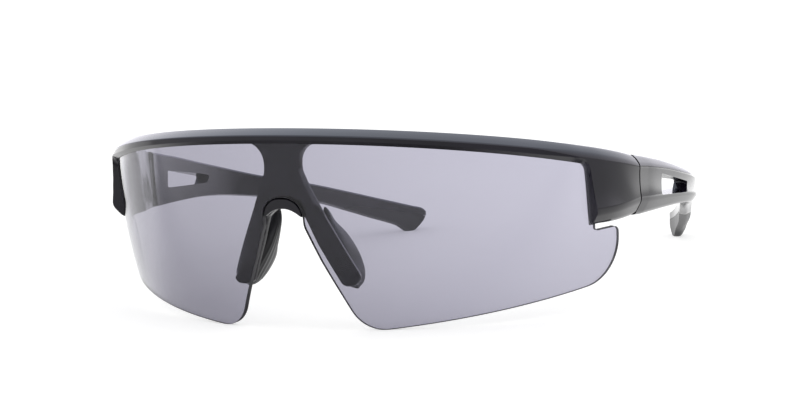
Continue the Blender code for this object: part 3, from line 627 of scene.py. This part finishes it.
def gloss_plastic(paint):
    """Polished black moulding with a faint orange peel and fine hairline scuffs."""
    peel = paint.noise(900)
    cloud = paint.noise(60, detail=3.0)
    scuffs = paint.noise(5200, roughness=0.6, stretch=(1, 0.12, 1)).above(0.66, 0.78)
    hue = colours().plastic
    base = paint.blend(tone(hue), tone(hue, 1.5), cloud.above(0.35, 0.7))
    rough = 0.14 + cloud * 0.035 + scuffs * 0.05
    normal = paint.bump(peel + scuffs * 0.15, strength=0.02, distance=0.05 * MM)
    return paint.solid(base, rough, normal, IOR=1.52)


def smoke_lens(paint):
    """Clear grey-violet polycarbonate, polished on both faces, its tint carrying painted shade low
    down and at the viewer's left, with a painted line of shade round its edge.
    """
    cloud = paint.noise(25)
    across, up = paint.split(paint.place(), "X", "Z")
    # Painted shade: the tint darkens towards the bottom and towards the viewer's left
    up = up.above(0.0, LENS_SHADE_RISE) * 0.94 + cloud * 0.06
    hue = colours().lens
    left = paint.blend(tone(hue, 0.60), tone(hue, 0.76), up)
    right = paint.blend(tone(hue, 1.01), tone(hue, 1.13), up)
    tint = paint.blend(left, right, across.above(*LENS_SHADE_ACROSS))
    # Painted shade: the faces round the lens's edge take an almost opaque, near-black finish, a line
    # of painted shade along the outline
    rim = paint.node("ShaderNodeAttribute", {"attribute_name": "rim"}, output="Fac")
    clear = {"Roughness": 0.0, "IOR": 1.45, "Transmission Weight": 1.0}
    body = paint.shader({"Base Color": tint, **clear})
    dark = paint.blend(tone(hue, 0.06), tone(hue, 0.10), cloud)
    edge = paint.shader({"Base Color": dark, "Roughness": 0.4, "Specular IOR Level": 0.2})
    surface = paint.mix(rim * 0.96, body, edge)
    (shadow,) = paint.rays("Shadow")
    veil = paint.node("ShaderNodeBsdfTransparent", {}, {"Color": tone(hue, 1.4)})
    return paint.out(paint.mix(shadow, surface, veil))


def soft_rubber(paint):
    """Matt black rubber with a fine moulded grain."""
    grain = paint.noise(4200, roughness=0.65)
    cloud = paint.noise(120, detail=3.0)
    hue = colours().rubber
    base = paint.blend(tone(hue), tone(hue, 2.2), cloud.above(0.3, 0.75))
    rough = 0.30 + cloud * 0.10 + grain * 0.08
    normal = paint.bump(grain, strength=0.25, distance=0.04 * MM)
    return paint.solid(base, rough, normal, IOR=1.5)


def dark_steel(paint):
    """Blackened hinge steel with drawn lines along it and worn bright spots."""
    lines = paint.noise(2600, detail=3.0, roughness=0.6, stretch=(1, 1, 0.08))
    wear = paint.noise(700, detail=3.0).above(0.58, 0.72)
    hue = colours().steel
    base = paint.blend(tone(hue), tone(hue, 1.8), wear)
    rough = 0.28 + lines * 0.16
    normal = paint.bump(lines, strength=0.12, distance=0.02 * MM)
    return paint.solid(base, rough, normal, Metallic=1.0)


def washer_nylon(paint):
    """Grey nylon with a faint unevenness."""
    cloud = paint.noise(900)
    hue = colours().nylon
    base = paint.blend(tone(hue), tone(hue, 1.4), cloud)
    rough = 0.45 + cloud * 0.1
    normal = paint.bump(cloud, strength=0.1, distance=0.02 * MM)
    return paint.solid(base, rough, normal, IOR=1.5)


def finish_named(name, make):
    """The material of this name, made if it isn't there yet."""
    return bpy.data.materials.get(name) or make(Paint(bpy.data.materials.new(name)))


def falling(middle, seam, reach):
    """A size that eases from its value at the middle to its value at the seam."""
    return middle - (middle - seam) * (reach / SEAM_REACH) ** 2


def along_lug(reach):
    """0 up to the lens's window and 1 at the seam."""
    return max(reach - LUG_REACH, 0.0) / LUG_LENGTH


def brow_face(reach):
    """How far behind the lens's face the bar's or the lug's face is."""
    swell = LUG_SWELL * eased(reach, LUG_START, LUG_REACH)
    return -sizes().bar_proud - swell + (LUG_SINK + LUG_SWELL) * along_lug(reach) ** 2


def section(face, low_face, back, heights, chamfers, soft):
    """The corners (depth, height, rounding) of a bar's section."""
    crest, crease, low_crease, bottom = heights
    top_chamfer, low_chamfer = chamfers
    share = min((crease - low_crease) / (CREASE_SEAM + LOWER_CREASE), 1.0)
    corners = [
        (face, crease, soft * share),
        (face + top_chamfer / 2, crease + (crest - crease) * BAR_CHAMFER_SWELL, 0),
        (face + top_chamfer, crest, soft * share),
        (back - BAR_EDGE_ROUND, crest - BAR_EDGE_ROUND * BAR_EDGE_FALL, 0),
        (back, crest - BAR_EDGE_ROUND, 0),
        (back, bottom + BAR_EDGE_ROUND, 0),
        (low_face + low_chamfer, bottom, LOW_ROUND * share),
        (low_face, low_crease, LOW_ROUND * share),
    ]
    for along, deep in LUG_HOLLOW_SHARES:
        depth = low_face + (face - low_face) * along + LUG_HOLLOW * deep * share
        corners.append((depth, low_crease + (crease - low_crease) * along, 0))
    return corners


def brow_section(reach):
    """The corners of the bar's or the lug's section at this reach."""
    lug = eased(reach, LUG_START, LUG_REACH + LUG_LEAN)
    flare = LUG_FLARE * (1 - eased(reach, LUG_REACH + LUG_FLARE * 3, SEAM_REACH))
    face = brow_face(reach)
    thinned = eased(reach, SEAM_REACH - SCREW_COVER_FULL, SEAM_REACH - SCREW_COVER_END)
    cover = LEAF_COVER + SCREW_COVER * (1 - thinned)
    back = BAR_BACK + (face + LUG_THICKNESS + cover - BAR_BACK) * lug
    past = along_lug(reach)
    low_crease = -LOWER_CREASE + LOWER_CREASE_RISE * (1 - past)
    top_chamfer = falling(BAR_MIDDLE_CHAMFER, UPPER_CHAMFER, reach)
    crest = falling(sizes().crest, CREST_SEAM, reach)
    crease = falling(sizes().crease, CREASE_SEAM, reach)
    heights = (crest, crease, low_crease, -LUG_BOTTOM - LUG_BOTTOM_FALL * past)
    soft = sizes().crease_round + (sizes().temple_round - sizes().crease_round) * lug
    return section(face, face - flare, back, heights, (top_chamfer, LOWER_CHAMFER), soft)


def brow_bar():
    """The left half of the bar and its lug, with no ring where the window's corner comes."""
    low, high = LUG_REACH - BEND_STEP, LUG_REACH + BEND_STEP * 2
    places = [BEND_STEP * step for step in range(math.ceil(SEAM_REACH / BEND_STEP))]
    rings = []
    for place in (-OVERRUN, *(place for place in places if not low < place < high), SEAM_REACH):
        rings.append([Vector((place, p.x, p.y)) for p in rounded(brow_section(abs(place)))])
    return loft(rings)


def window_cutter():
    """What the lens's window takes from the bar, wider ahead of the lens and behind it."""
    below = -LUG_BOTTOM - OVERRUN
    corner_height = window_top(LUG_REACH)
    lean = LUG_LEAN * (corner_height - below) / (corner_height + LUG_BOTTOM)
    steps = math.floor((LUG_REACH - WINDOW_ROUND) / BEND_STEP)
    corners = [
        (-OVERRUN, below, 0),
        (LUG_REACH + lean, below, 0),
        (LUG_REACH, corner_height, WINDOW_ROUND),
    ]
    places = [BEND_STEP * step for step in range(steps, -1, -1)]
    corners += [(place, window_top(place), 0) for place in places]
    corners.append((-OVERRUN, window_top(0), 0))
    outline = rounded(corners)
    proud = sizes().bar_proud
    ahead = proud + LUG_FLARE + OVERRUN
    flared = grown(outline, WINDOW_FLARE * ahead / proud)
    for near, far in zip(outline, flared):
        far.x = near.x + LUG_WALL_LEAN * eased(near.x, LUG_REACH - WINDOW_ROUND * 2, LUG_REACH)
    splayed = [Vector((point.x * WINDOW_SPLAY, point.y)) for point in outline]
    depths = (-ahead - GAP, -GAP, sizes().lens_thickness + GAP, LUG_THICKNESS + OVERRUN)
    return plate((flared, outline, outline, splayed), depths)


def arch(rise=0.0):
    """Corners along the arch over the nose, from past the middle outwards."""
    shares = [step / ARC_STEPS for step in range(ARC_STEPS + 1)]
    curve = [(ARCH_HALF_WIDTH * share, ARCH_HEIGHT * (1 - share**2) + rise, 0) for share in shares]
    return [(-OVERRUN, ARCH_HEIGHT + rise, 0), *curve]


def leg_outline():
    """The left half of the bridge with its leg, seen from in front."""
    top = sizes().crest - BAR_EDGE_ROUND * 2
    inner_foot = LEG_SPREAD - LEG_WIDTH
    corners = [
        *arch(),
        (ARCH_HALF_WIDTH * ARCH_FOOT[0], -ARCH_HEIGHT * ARCH_FOOT[1], 0),
        (inner_foot * LEG_INNER_BEND[0], -LEG_DROP * LEG_INNER_BEND[1], LEG_DROP),
        (inner_foot, -LEG_DROP, LEG_FOOT_ROUND),
        (LEG_SPREAD, -LEG_DROP, LEG_FOOT_ROUND),
    ]
    for down, out in reversed(LEG_OUTER_SHARES):
        corners.append((LEG_SPREAD * out, -LEG_DROP * down, 0))
    window = window_top(BRIDGE_HALF_WIDTH)
    corners += [
        (BRIDGE_HALF_WIDTH, LEG_DROP * BRIDGE_FOOT, 0),
        (BRIDGE_HALF_WIDTH, window - BAR_EDGE_ROUND, BRIDGE_FILLET),
        (BRIDGE_HALF_WIDTH + BRIDGE_FILLET * 2, window - BAR_EDGE_ROUND, 0),
        (BRIDGE_HALF_WIDTH + BRIDGE_FILLET * 2, top, 0),
        (-OVERRUN, top, 0),
    ]
    return rounded(corners)


def leg_side(height):
    """How far out the leg's outer side is at this height. Above the leg it sets no limit."""
    if height > -LEG_DROP * LEG_OUTER_SHARES[0][0]:
        return SEAM_REACH
    for (up, inner), (down, outer) in zip(LEG_OUTER_SHARES, LEG_OUTER_SHARES[1:]):
        if height >= -LEG_DROP * down:
            share = (-height / LEG_DROP - up) / (down - up)
            return LEG_SPREAD * (inner + (outer - inner) * share)
    down, out = LEG_OUTER_SHARES[-1]
    return LEG_SPREAD * (out - down - height / LEG_DROP)


def bridge_plate():
    """The left half of the bridge with its leg, behind the lens."""
    outline = leg_outline()
    face = grown(outline, -LEG_EASE)
    for point in face:
        inset = RIDGE_INSET * eased(-point.y, -LEG_DROP * RIDGE_TOP, LEG_DROP * RIDGE_FULL)
        point.x = min(point.x, leg_side(point.y) - inset)
    front = sizes().lens_thickness + GAP * 2
    back = front + sizes().bridge_thickness
    depths = (front, front + RIDGE_DEPTH, back - LEG_CHAMFER, back)
    return plate((face, outline, outline, grown(outline, -LEG_CHAMFER)), depths)


def arch_lip():
    """The lip that fills the lens's notch over the nose."""
    half_width = NOTCH_HALF_WIDTH - GAP
    corners = [
        *arch(GAP),
        (half_width, GAP, 0),
        (half_width, NOTCH_HEIGHT - GAP, half_width * NOTCH_ROUND),
        (-OVERRUN, NOTCH_HEIGHT - GAP, 0),
    ]
    outline = rounded(corners)
    back = sizes().lens_thickness + GAP * 2 + LIP_DEPTH
    return plate((grown(outline, -GAP), outline, outline), (GAP, GAP * 3, back))


def hinge_frame(way):
    """The left hinge's frame for the lug (way -1) or the temple (way 1): x out, y back, z up."""
    out = hinge_out(way)
    pivot = Matrix.Translation((PIVOT_REST.x, PIVOT_REST.y + SETBACK, 0))
    return pivot @ Matrix.Rotation(math.atan2(out.y, out.x), 4, "Z")


def hinge_out(way):
    """Straight out from the lug or from the temple, seen from above."""

    def wall(reach):
        face, height = brow_face(reach), -LOWER_CREASE / 2
        return [bent(Vector((reach, depth, height))).xy for depth in (face, face + LUG_THICKNESS)]

    if way < 0:
        outer, inner = wall(SEAM_REACH - LUG_LEAF_BACK)
        return outer - inner
    outer, inner = wall(SEAM_REACH + TEMPLE_GAP / 2)
    along = TEMPLE_SHARES[2]
    return Vector((TEMPLE_LENGTH * along[0], outer.x * (1 - along[1])))


def hinge_room(way):
    """What the barrel needs cut from the lug or from the temple."""
    barrel = upright_pin(HINGE_ROOM, 0, HINGE_TOP, hinge_frame(1))
    low = (-HINGE_ROOM - OVERRUN, -HINGE_ROOM, -OVERRUN)
    high = (-HINGE_ROOM / 2, HINGE_ROOM, HINGE_TOP)
    return barrel, block(low, high, hinge_frame(way))


def lens_outline():
    """The left half of the lens, unrolled and seen from in front."""
    drop, reach = sizes().lens_drop, sizes().lens_reach
    shoulder = -drop + SHOULDER_RISE
    end = (reach - SHOULDER_ROUND * SHOULDER_SLANT[0], shoulder - SHOULDER_ROUND * SHOULDER_SLANT[1])
    held_reach = LUG_REACH + LUG_LEAN + LENS_HOLD
    corners = [
        (-OVERRUN, NOTCH_HEIGHT, 0),
        (NOTCH_HALF_WIDTH, NOTCH_HEIGHT, NOTCH_HALF_WIDTH * NOTCH_ROUND),
        (NOTCH_HALF_WIDTH, -drop * NOTCH_FOOT, NOTCH_HALF_WIDTH),
        (drop * SLANT_BEND[0], -drop * SLANT_BEND[1], drop),
        (drop * SLANT_FOOT, -drop, LOBE_ROUND),
        (reach, LENS_END_RISE - drop, LENS_END_ROUND),
        (*end, SHOULDER_ROUND),
        (held_reach, shoulder, SHOULDER_ROUND * 0.5),
        (held_reach, window_top(held_reach) + LENS_HOLD, LENS_HOLD),
    ]
    outline = rounded(corners, ARC_STEPS * 2)
    steps = math.ceil((held_reach + OVERRUN) / BEND_STEP)
    for step in range(steps - 1, -1, -1):
        place = held_reach * step / steps - OVERRUN * (1 - step / steps)
        outline.append(Vector((place, window_top(place) + LENS_HOLD)))
    return outline


def between(rows, steps):
    """The rows with more of them between, on smooth curves through them all."""
    made = []
    for index in range(len(rows) - 1):
        places = (index - 1, index, index + 1, index + 2)
        around = [rows[min(max(place, 0), len(rows) - 1)] for place in places]
        for step in range(steps):
            share = step / steps
            weights = (
                (-share + 2 * share**2 - share**3) / 2,
                (2 - 5 * share**2 + 3 * share**3) / 2,
                (share + 4 * share**2 - 3 * share**3) / 2,
                (-(share**2) + share**3) / 2,
            )
            columns = zip(*around)
            made.append([sum(w * part for w, part in zip(weights, column)) for column in columns])
    return [*made, list(rows[-1])]


def seam_section():
    """The corners of the left temple's front end, in their places."""
    reach = SEAM_REACH + TEMPLE_GAP
    return [bent(Vector((reach, depth, height))) for depth, height, soft in brow_section(SEAM_REACH)]


def temple_loft():
    """The left temple's solid, before anything is cut from it."""
    first = seam_section()
    outer, top, bottom = first[LOW_CREASE], first[CREST].z, first[BOTTOM].z
    rows = between(TEMPLE_SHARES, TEMPLE_STEPS)
    path = [Vector((outer.x * row[1], outer.y + TEMPLE_LENGTH * row[0])) for row in rows]
    front = rounded(brow_section(SEAM_REACH))
    rings = [[bent(Vector((SEAM_REACH + TEMPLE_GAP, point.x, point.y))) for point in front]]
    for index in range(TEMPLE_STEPS, len(rows)):
        ahead = (path[min(index + 1, len(path) - 1)] - path[index - 1]).normalized()
        inward = Vector((-ahead.y, ahead.x))
        crest, foot = top * rows[index][2], bottom * rows[index][3]
        scale = (crest - foot) / (top - bottom)
        share = rows[index][4]
        thick = LUG_THICKNESS * share
        crease = crest - (CREST_SEAM - CREASE_SEAM) * scale
        low_crease = foot + (LUG_BOTTOM + LUG_BOTTOM_FALL - LOWER_CREASE) * scale
        heights = (crest, crease, low_crease, foot)
        chamfers = (UPPER_CHAMFER * share, LOWER_CHAMFER * share)
        ring = rounded(section(0, 0, thick, heights, chamfers, sizes().temple_round))
        rings.append([Vector((*(path[index] + inward * point.x), point.y)) for point in ring])
    return loft(rings)


def temple_slot():
    """What the slanted window takes from the left temple."""
    seam = seam_section()
    outer, foot = seam[LOW_CREASE], seam[CREASE].z - SLOT_DROP
    rings = []
    for column, shift in ((0, OVERRUN), (0, 0), (2, -SLOT_INSIDE), (2, -SLOT_INSIDE - OVERRUN)):
        corners = []
        for row in SLOT_SHARES:
            along = outer.y + SLOT_START + SLOT_LENGTH * row[column]
            corners.append((along, foot + SLOT_HEIGHT * row[column + 1], SLOT_ROUND))
        rings.append([Vector((outer.x + shift, point.x, point.y)) for point in rounded(corners)])
    return loft(rings)


def grip_region(room, floor):
    """Where the left grip is: this much smaller, and from this height up."""
    start = seam_section()[LOW_CREASE].y + TEMPLE_LENGTH - GRIP_LENGTH
    upper = []
    for along, high in GRIP_SHARES:
        upper.append(Vector((start + GRIP_LENGTH * along, GRIP_HEIGHT * high - room)))
    upper[0].x += room
    outline = [*upper, Vector((upper[-1].x, floor)), Vector((upper[0].x, floor))]
    reach = PIVOT_REST.x + LUG_THICKNESS + OVERRUN
    return loft([[Vector((out, point.x, point.y)) for point in outline] for out in (0, reach)])


class SUNGLASSES_OT_front(bpy.types.Operator):
    """Build the brow bar, lugs, bridge and pad legs as one glossy moulding"""

    bl_idname = "sunglasses.front"
    bl_label = "Front"

    def execute(self, context):
        shape = cut(brow_bar(), window_cutter())
        self.round_walls(shape)
        shape = join(shape, bridge_plate())
        shape = join(shape, arch_lip())
        soften(shape, sizes().edge_round, keep=self.whole, flat=self.central)
        bend(shape, self.central)
        for side in (1, -1):
            for tool in hinge_room(-1):
                shape = cut(shape, turned(tool, side))
        finish = finish_named("gloss_black_plastic", gloss_plastic)
        piece("front_moulding", shape, "front", finish, "black_plastic", "front_frame")
        return {"FINISHED"}

    def whole(self, edge):
        """Whether an edge isn't on the open end past the middle."""
        return max(vert.co.x for vert in edge.verts) > OPEN_END

    def central(self, place):
        """Whether a place of the unrolled front is on the bridge or a leg."""
        return place.x < LEG_SPREAD + OVERRUN and place.z < window_top(LEG_SPREAD)

    def round_walls(self, shape):
        """Rounds the outer edge of the lug's wall beside the lens."""

        def on_wall(place):
            near = abs(place.x - LUG_REACH - LUG_LEAN / 2) < BEND_STEP / 2
            return near and place.y < -sizes().bar_proud

        edges = [edge for edge in shape.edges if all(on_wall(vert.co) for vert in edge.verts)]
        bevel(shape, [edge for edge in edges if sharp(edge)], WALL_ROUND, ARC_STEPS)


class SUNGLASSES_OT_lens(bpy.types.Operator):
    """Build the smoke shield lens"""

    bl_idname = "sunglasses.lens"
    bl_label = "Lens"

    def execute(self, context):
        outline = lens_outline()
        shape = plate((outline, outline), (0, sizes().lens_thickness))
        soften(shape, sizes().lens_bevel, LENS_BEVEL_STEPS)
        # The faces round the edge, which the lens finish paints as a line of painted shade
        rim = shape.faces.layers.float.new("rim")
        for face in shape.faces:
            face[rim] = 1.0 if abs(face.normal.y) < RIM_NORMAL else 0.0
        bend(shape)
        finish = finish_named("smoke_polycarbonate", smoke_lens)
        piece("shield_lens", shape, "front", finish, "smoke_lens", "lens")
        return {"FINISHED"}


class SUNGLASSES_OT_pads(bpy.types.Operator):
    """Build the two soft nose pads"""

    bl_idname = "sunglasses.pads"
    bl_label = "Nose pads"

    def execute(self, context):
        finish = finish_named("soft_black_rubber", soft_rubber)
        for word, side in SIDES:
            shape = turned(self.pad(), side)
            piece(f"{word}_soft_pad", shape, "front", finish, "rubber", f"{word}_nose_pad")
        return {"FINISHED"}

    def pad(self):
        """The left pad, upright, with rounded ends."""
        rings = []
        for up, front_out, front_back, back_out, back_back, outer in between(PAD_SHARES, PAD_RISES):
            front = Vector((PAD_SPREAD * front_out, PAD_REACH * front_back + SETBACK))
            back = Vector((PAD_SPREAD * back_out, PAD_REACH * back_back + SETBACK))
            run = back - front
            nose = Vector((-run.y, run.x)).normalized()
            wave = math.sin(math.pi * (PAD_WAVE[0] + PAD_WAVE[1] * up))
            swell = sizes().pad_thickness * (PAD_THIN + (1 - PAD_THIN) * wave)
            corners = [front + run * along + nose * swell * deep for along, deep in PAD_INNER]
            swell *= outer
            corners += [front + run * along + nose * swell * deep for along, deep in PAD_OUTER]
            middle = sum(corners, Vector((0, 0))) / len(corners)
            end = min(up, 1.0 - up) / PAD_END
            full = math.sqrt(1.0 - (1.0 - min(end, 1.0)) ** 2)
            full = PAD_END_SIZE + (1 - PAD_END_SIZE) * full
            corners = [middle + (corner - middle) * full for corner in corners]
            around = between([corners[-1], *corners, *corners[:2]], PAD_STEPS)
            height = PAD_BOTTOM + sizes().pad_height * up
            ring = []
            for step, point in enumerate(around[PAD_STEPS : -PAD_STEPS - 1]):
                ring.append(Vector((*self.ribbed(point, step, nose, min(end / 2, 1.0)), height)))
            rings.append(ring)
        return loft(rings)

    def ribbed(self, point, step, nose, strength):
        """A point of a pad's ring, with ribs along the side that rests on the nose."""
        across = step / (PAD_STEPS * 3)
        if across >= 1:
            return point
        wave = math.sin(math.pi * across) * math.sin(2 * math.pi * PAD_RIBS * across)
        return Vector(point) + nose * (PAD_RIB_HEIGHT * strength * wave)


class SUNGLASSES_OT_temples(bpy.types.Operator):
    """Build the two temples with their windows"""

    bl_idname = "sunglasses.temples"
    bl_label = "Temples"

    def execute(self, context):
        finish = finish_named("gloss_black_plastic", gloss_plastic)
        for word, side in SIDES:
            shape = cut(temple_loft(), temple_slot())
            shape = cut(shape, grip_region(0, -OVERRUN))
            soften(shape, sizes().edge_round, 3)
            for tool in hinge_room(1):
                shape = cut(shape, tool)
            arm = f"{word}_arm"
            turned(shape, side)
            piece(f"{arm}_moulding", shape, arm, finish, "black_plastic", f"{word}_temple")
        return {"FINISHED"}


class SUNGLASSES_OT_grips(bpy.types.Operator):
    """Build the rubber grips in the ends of the temples"""

    bl_idname = "sunglasses.grips"
    bl_label = "Temple grips"

    def execute(self, context):
        finish = finish_named("soft_black_rubber", soft_rubber)
        for word, side in SIDES:
            shape = common(temple_loft(), grip_region(GRIP_ROOM, 0))
            soften(shape, GRIP_ROUND)
            turned(shape, side)
            node = f"{word}_temple_grip"
            piece(f"{word}_soft_grip", shape, f"{word}_arm", finish, "rubber", node)
        return {"FINISHED"}


class SUNGLASSES_OT_hinges(bpy.types.Operator):
    """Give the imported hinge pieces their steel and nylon"""

    bl_idname = "sunglasses.hinges"
    bl_label = "Hinges"

    def execute(self, context):
        steel = finish_named("dark_hinge_steel", dark_steel)
        nylon = finish_named("washer_nylon", washer_nylon)
        for name, node in frame["nodes"].items():
            if "washer" in name:
                self.dress(node, nylon)
            elif "leaf" in name or "screw" in name:
                self.dress(node, steel)
        return {"FINISHED"}

    def dress(self, node, finish):
        if not node.material_slots:
            node.data.materials.append(finish)
        for slot in node.material_slots:
            slot.material = finish


class SUNGLASSES_OT_stage(bpy.types.Operator):
    """Set up the white floor, the soft light and the camera"""

    bl_idname = "sunglasses.stage"
    bl_label = "Stage"

    def execute(self, context):
        self.floor()
        self.world(context.scene)
        self.camera(context.scene)
        context.scene.view_settings.view_transform = "Standard"
        return {"FINISHED"}

    def floor(self):
        """A white floor, which polished faces see with painted shade near the front and a painted glow
        far behind.
        """
        shape = bmesh.new()
        bmesh.ops.create_grid(shape, x_segments=1, y_segments=1, size=FLOOR_SIZE)
        made = linked(shape, "studio_floor")
        paint = Paint(bpy.data.materials.new("studio_white"))
        cloud = paint.noise(3).above(0.2, 0.5)
        hue = colours().floor
        white = paint.blend(tone(hue, 0.62), tone(hue, 0.64), cloud)
        # Painted shade: a grey that polished faces see in place of the white floor
        grey = paint.blend(tone(hue, 0.09), tone(hue, 0.11), cloud)
        matt = paint.shader({"Base Color": white, "Specular IOR Level": 0.0})
        reflected_shade = paint.shader({"Base Color": grey, "Specular IOR Level": 0.0})
        glow = paint.light("ShaderNodeEmission", tone(hue), FLOOR_GLOW)
        bright = paint.light("ShaderNodeEmission", tone(hue), FAR_GLOW)
        lit = paint.node("ShaderNodeAddShader", {}, {0: matt, 1: glow})
        mirrored = self.mirrored(paint)
        across, along = paint.split(paint.place(), "X", "Y")
        ahead = 1.0 - along.above(*FLOOR_AHEAD)
        under = (1.0 - ahead) * (1.0 - along.above(*FLOOR_UNDER))
        beside = across.above(*FLOOR_BESIDE)
        surface = paint.mix(self.seen(paint), matt, lit)
        # Painted shade in reflections: for polished faces the floor ahead of, under and beside the
        # glasses is grey
        surface = paint.mix(mirrored * (ahead * REFLECTED_SHADE_AHEAD + under * REFLECTED_SHADE_UNDER), surface, reflected_shade)
        surface = paint.mix(mirrored * beside * REFLECTED_SHADE_BESIDE, surface, reflected_shade)
        # Painted glow: the far floor glows brightly for polished faces only, giving them a painted
        # highlight
        far = along.above(*FLOOR_FAR) * (1.0 - beside)
        surface = paint.mix(mirrored * far, surface, bright)
        made.data.materials.append(paint.out(surface))

    def seen(self, paint):
        """1 for rays that come from the camera, a reflection or a clear piece."""
        camera, glossy, clear = paint.rays("Camera", "Glossy", "Transmission")
        return camera.math("MAXIMUM", camera, (glossy + clear).above(0.0, 1.0))

    def mirrored(self, paint):
        """1 for rays from a polished face, and 0 for those that come through a clear one."""
        glossy, clear = paint.rays("Glossy", "Transmission")
        return glossy * (1.0 - clear)

    def world(self, scene):
        """A plain white light. Polished faces see a tent: dim ahead, bright behind and overhead."""
        world = bpy.data.worlds.new("studio")
        scene.world = world
        world.cycles.sampling_method = "NONE"
        paint = Paint(world)
        coords = paint.node("ShaderNodeTexCoord", output="Generated")
        side, back, up = paint.split(coords, "X", "Y", "Z")
        behind = back.above(*TENT_BEHIND)
        right = side.above(*TENT_RIGHT) * TENT_RIGHT_SHARE
        overhead = up.above(*TENT_OVERHEAD)
        lights = (PLAIN_LIGHT, AHEAD_LIGHT, REAR_LIGHT, SKY_LIGHT)
        plain, ahead, rear, sky = (paint.light("ShaderNodeBackground", *light) for light in lights)
        round_about = paint.mix(right, paint.mix(behind, ahead, rear), rear)
        tent = paint.mix(overhead, round_about, sky)
        paint.out(paint.mix(self.mirrored(paint), plain, tent), "ShaderNodeOutputWorld")

    def camera(self, scene):
        """The camera that took the photo, as fitted to its outlines."""
        level = Vector((-math.sin(CAMERA_AZIMUTH), math.cos(CAMERA_AZIMUTH), 0))
        ahead = level * math.cos(CAMERA_ELEVATION)
        ahead.z = -math.sin(CAMERA_ELEVATION)
        right = ahead.cross(Vector((0, 0, 1))).normalized()
        up = right.cross(ahead)
        across = right * math.cos(CAMERA_ROLL) + up * math.sin(CAMERA_ROLL)
        above = up * math.cos(CAMERA_ROLL) - right * math.sin(CAMERA_ROLL)
        data = bpy.data.cameras.new("photo_view")
        data.lens = CAMERA_LENS
        data.sensor_width = CAMERA_SENSOR
        data.clip_start = CAMERA_NEAR
        made = bpy.data.objects.new("photo_view", data)
        scene.collection.objects.link(made)
        turn = Matrix((across, above, -ahead)).transposed().to_4x4()
        x, y, z = CAMERA_PLACE
        made.matrix_world = Matrix.Translation(Vector((x, y + SETBACK, z))) @ turn
        scene.camera = made


class SUNGLASSES_PT_panel(bpy.types.Panel):
    bl_label = "Sunglasses"
    bl_idname = "SUNGLASSES_PT_panel"
    bl_space_type = "VIEW_3D"
    bl_region_type = "UI"
    bl_category = "Sunglasses"

    def draw(self, context):
        for group in (context.scene.sunglasses_sizes, context.scene.sunglasses_colours):
            column = self.layout.column(align=True)
            for name in group.__annotations__:
                column.prop(group, name)
        for operator in OPERATORS:
            self.layout.operator(operator.bl_idname)


OPERATORS = (
    SUNGLASSES_OT_front,
    SUNGLASSES_OT_lens,
    SUNGLASSES_OT_pads,
    SUNGLASSES_OT_temples,
    SUNGLASSES_OT_grips,
    SUNGLASSES_OT_hinges,
    SUNGLASSES_OT_stage,
)
CLASSES = (SunglassesSizes, SunglassesColours, *OPERATORS, SUNGLASSES_PT_panel)


def register():
    for item in CLASSES:
        bpy.utils.register_class(item)
    bpy.types.Scene.sunglasses_sizes = bpy.props.PointerProperty(type=SunglassesSizes)
    bpy.types.Scene.sunglasses_colours = bpy.props.PointerProperty(type=SunglassesColours)


def unregister():
    del bpy.types.Scene.sunglasses_colours
    del bpy.types.Scene.sunglasses_sizes
    for item in reversed(CLASSES):
        bpy.utils.unregister_class(item)


def main():
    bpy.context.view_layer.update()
    register()
    bpy.ops.sunglasses.front()
    bpy.ops.sunglasses.lens()
    bpy.ops.sunglasses.pads()
    bpy.ops.sunglasses.temples()
    bpy.ops.sunglasses.grips()
    bpy.ops.sunglasses.hinges()
    bpy.ops.sunglasses.stage()


if __name__ == "__main__":
    main()
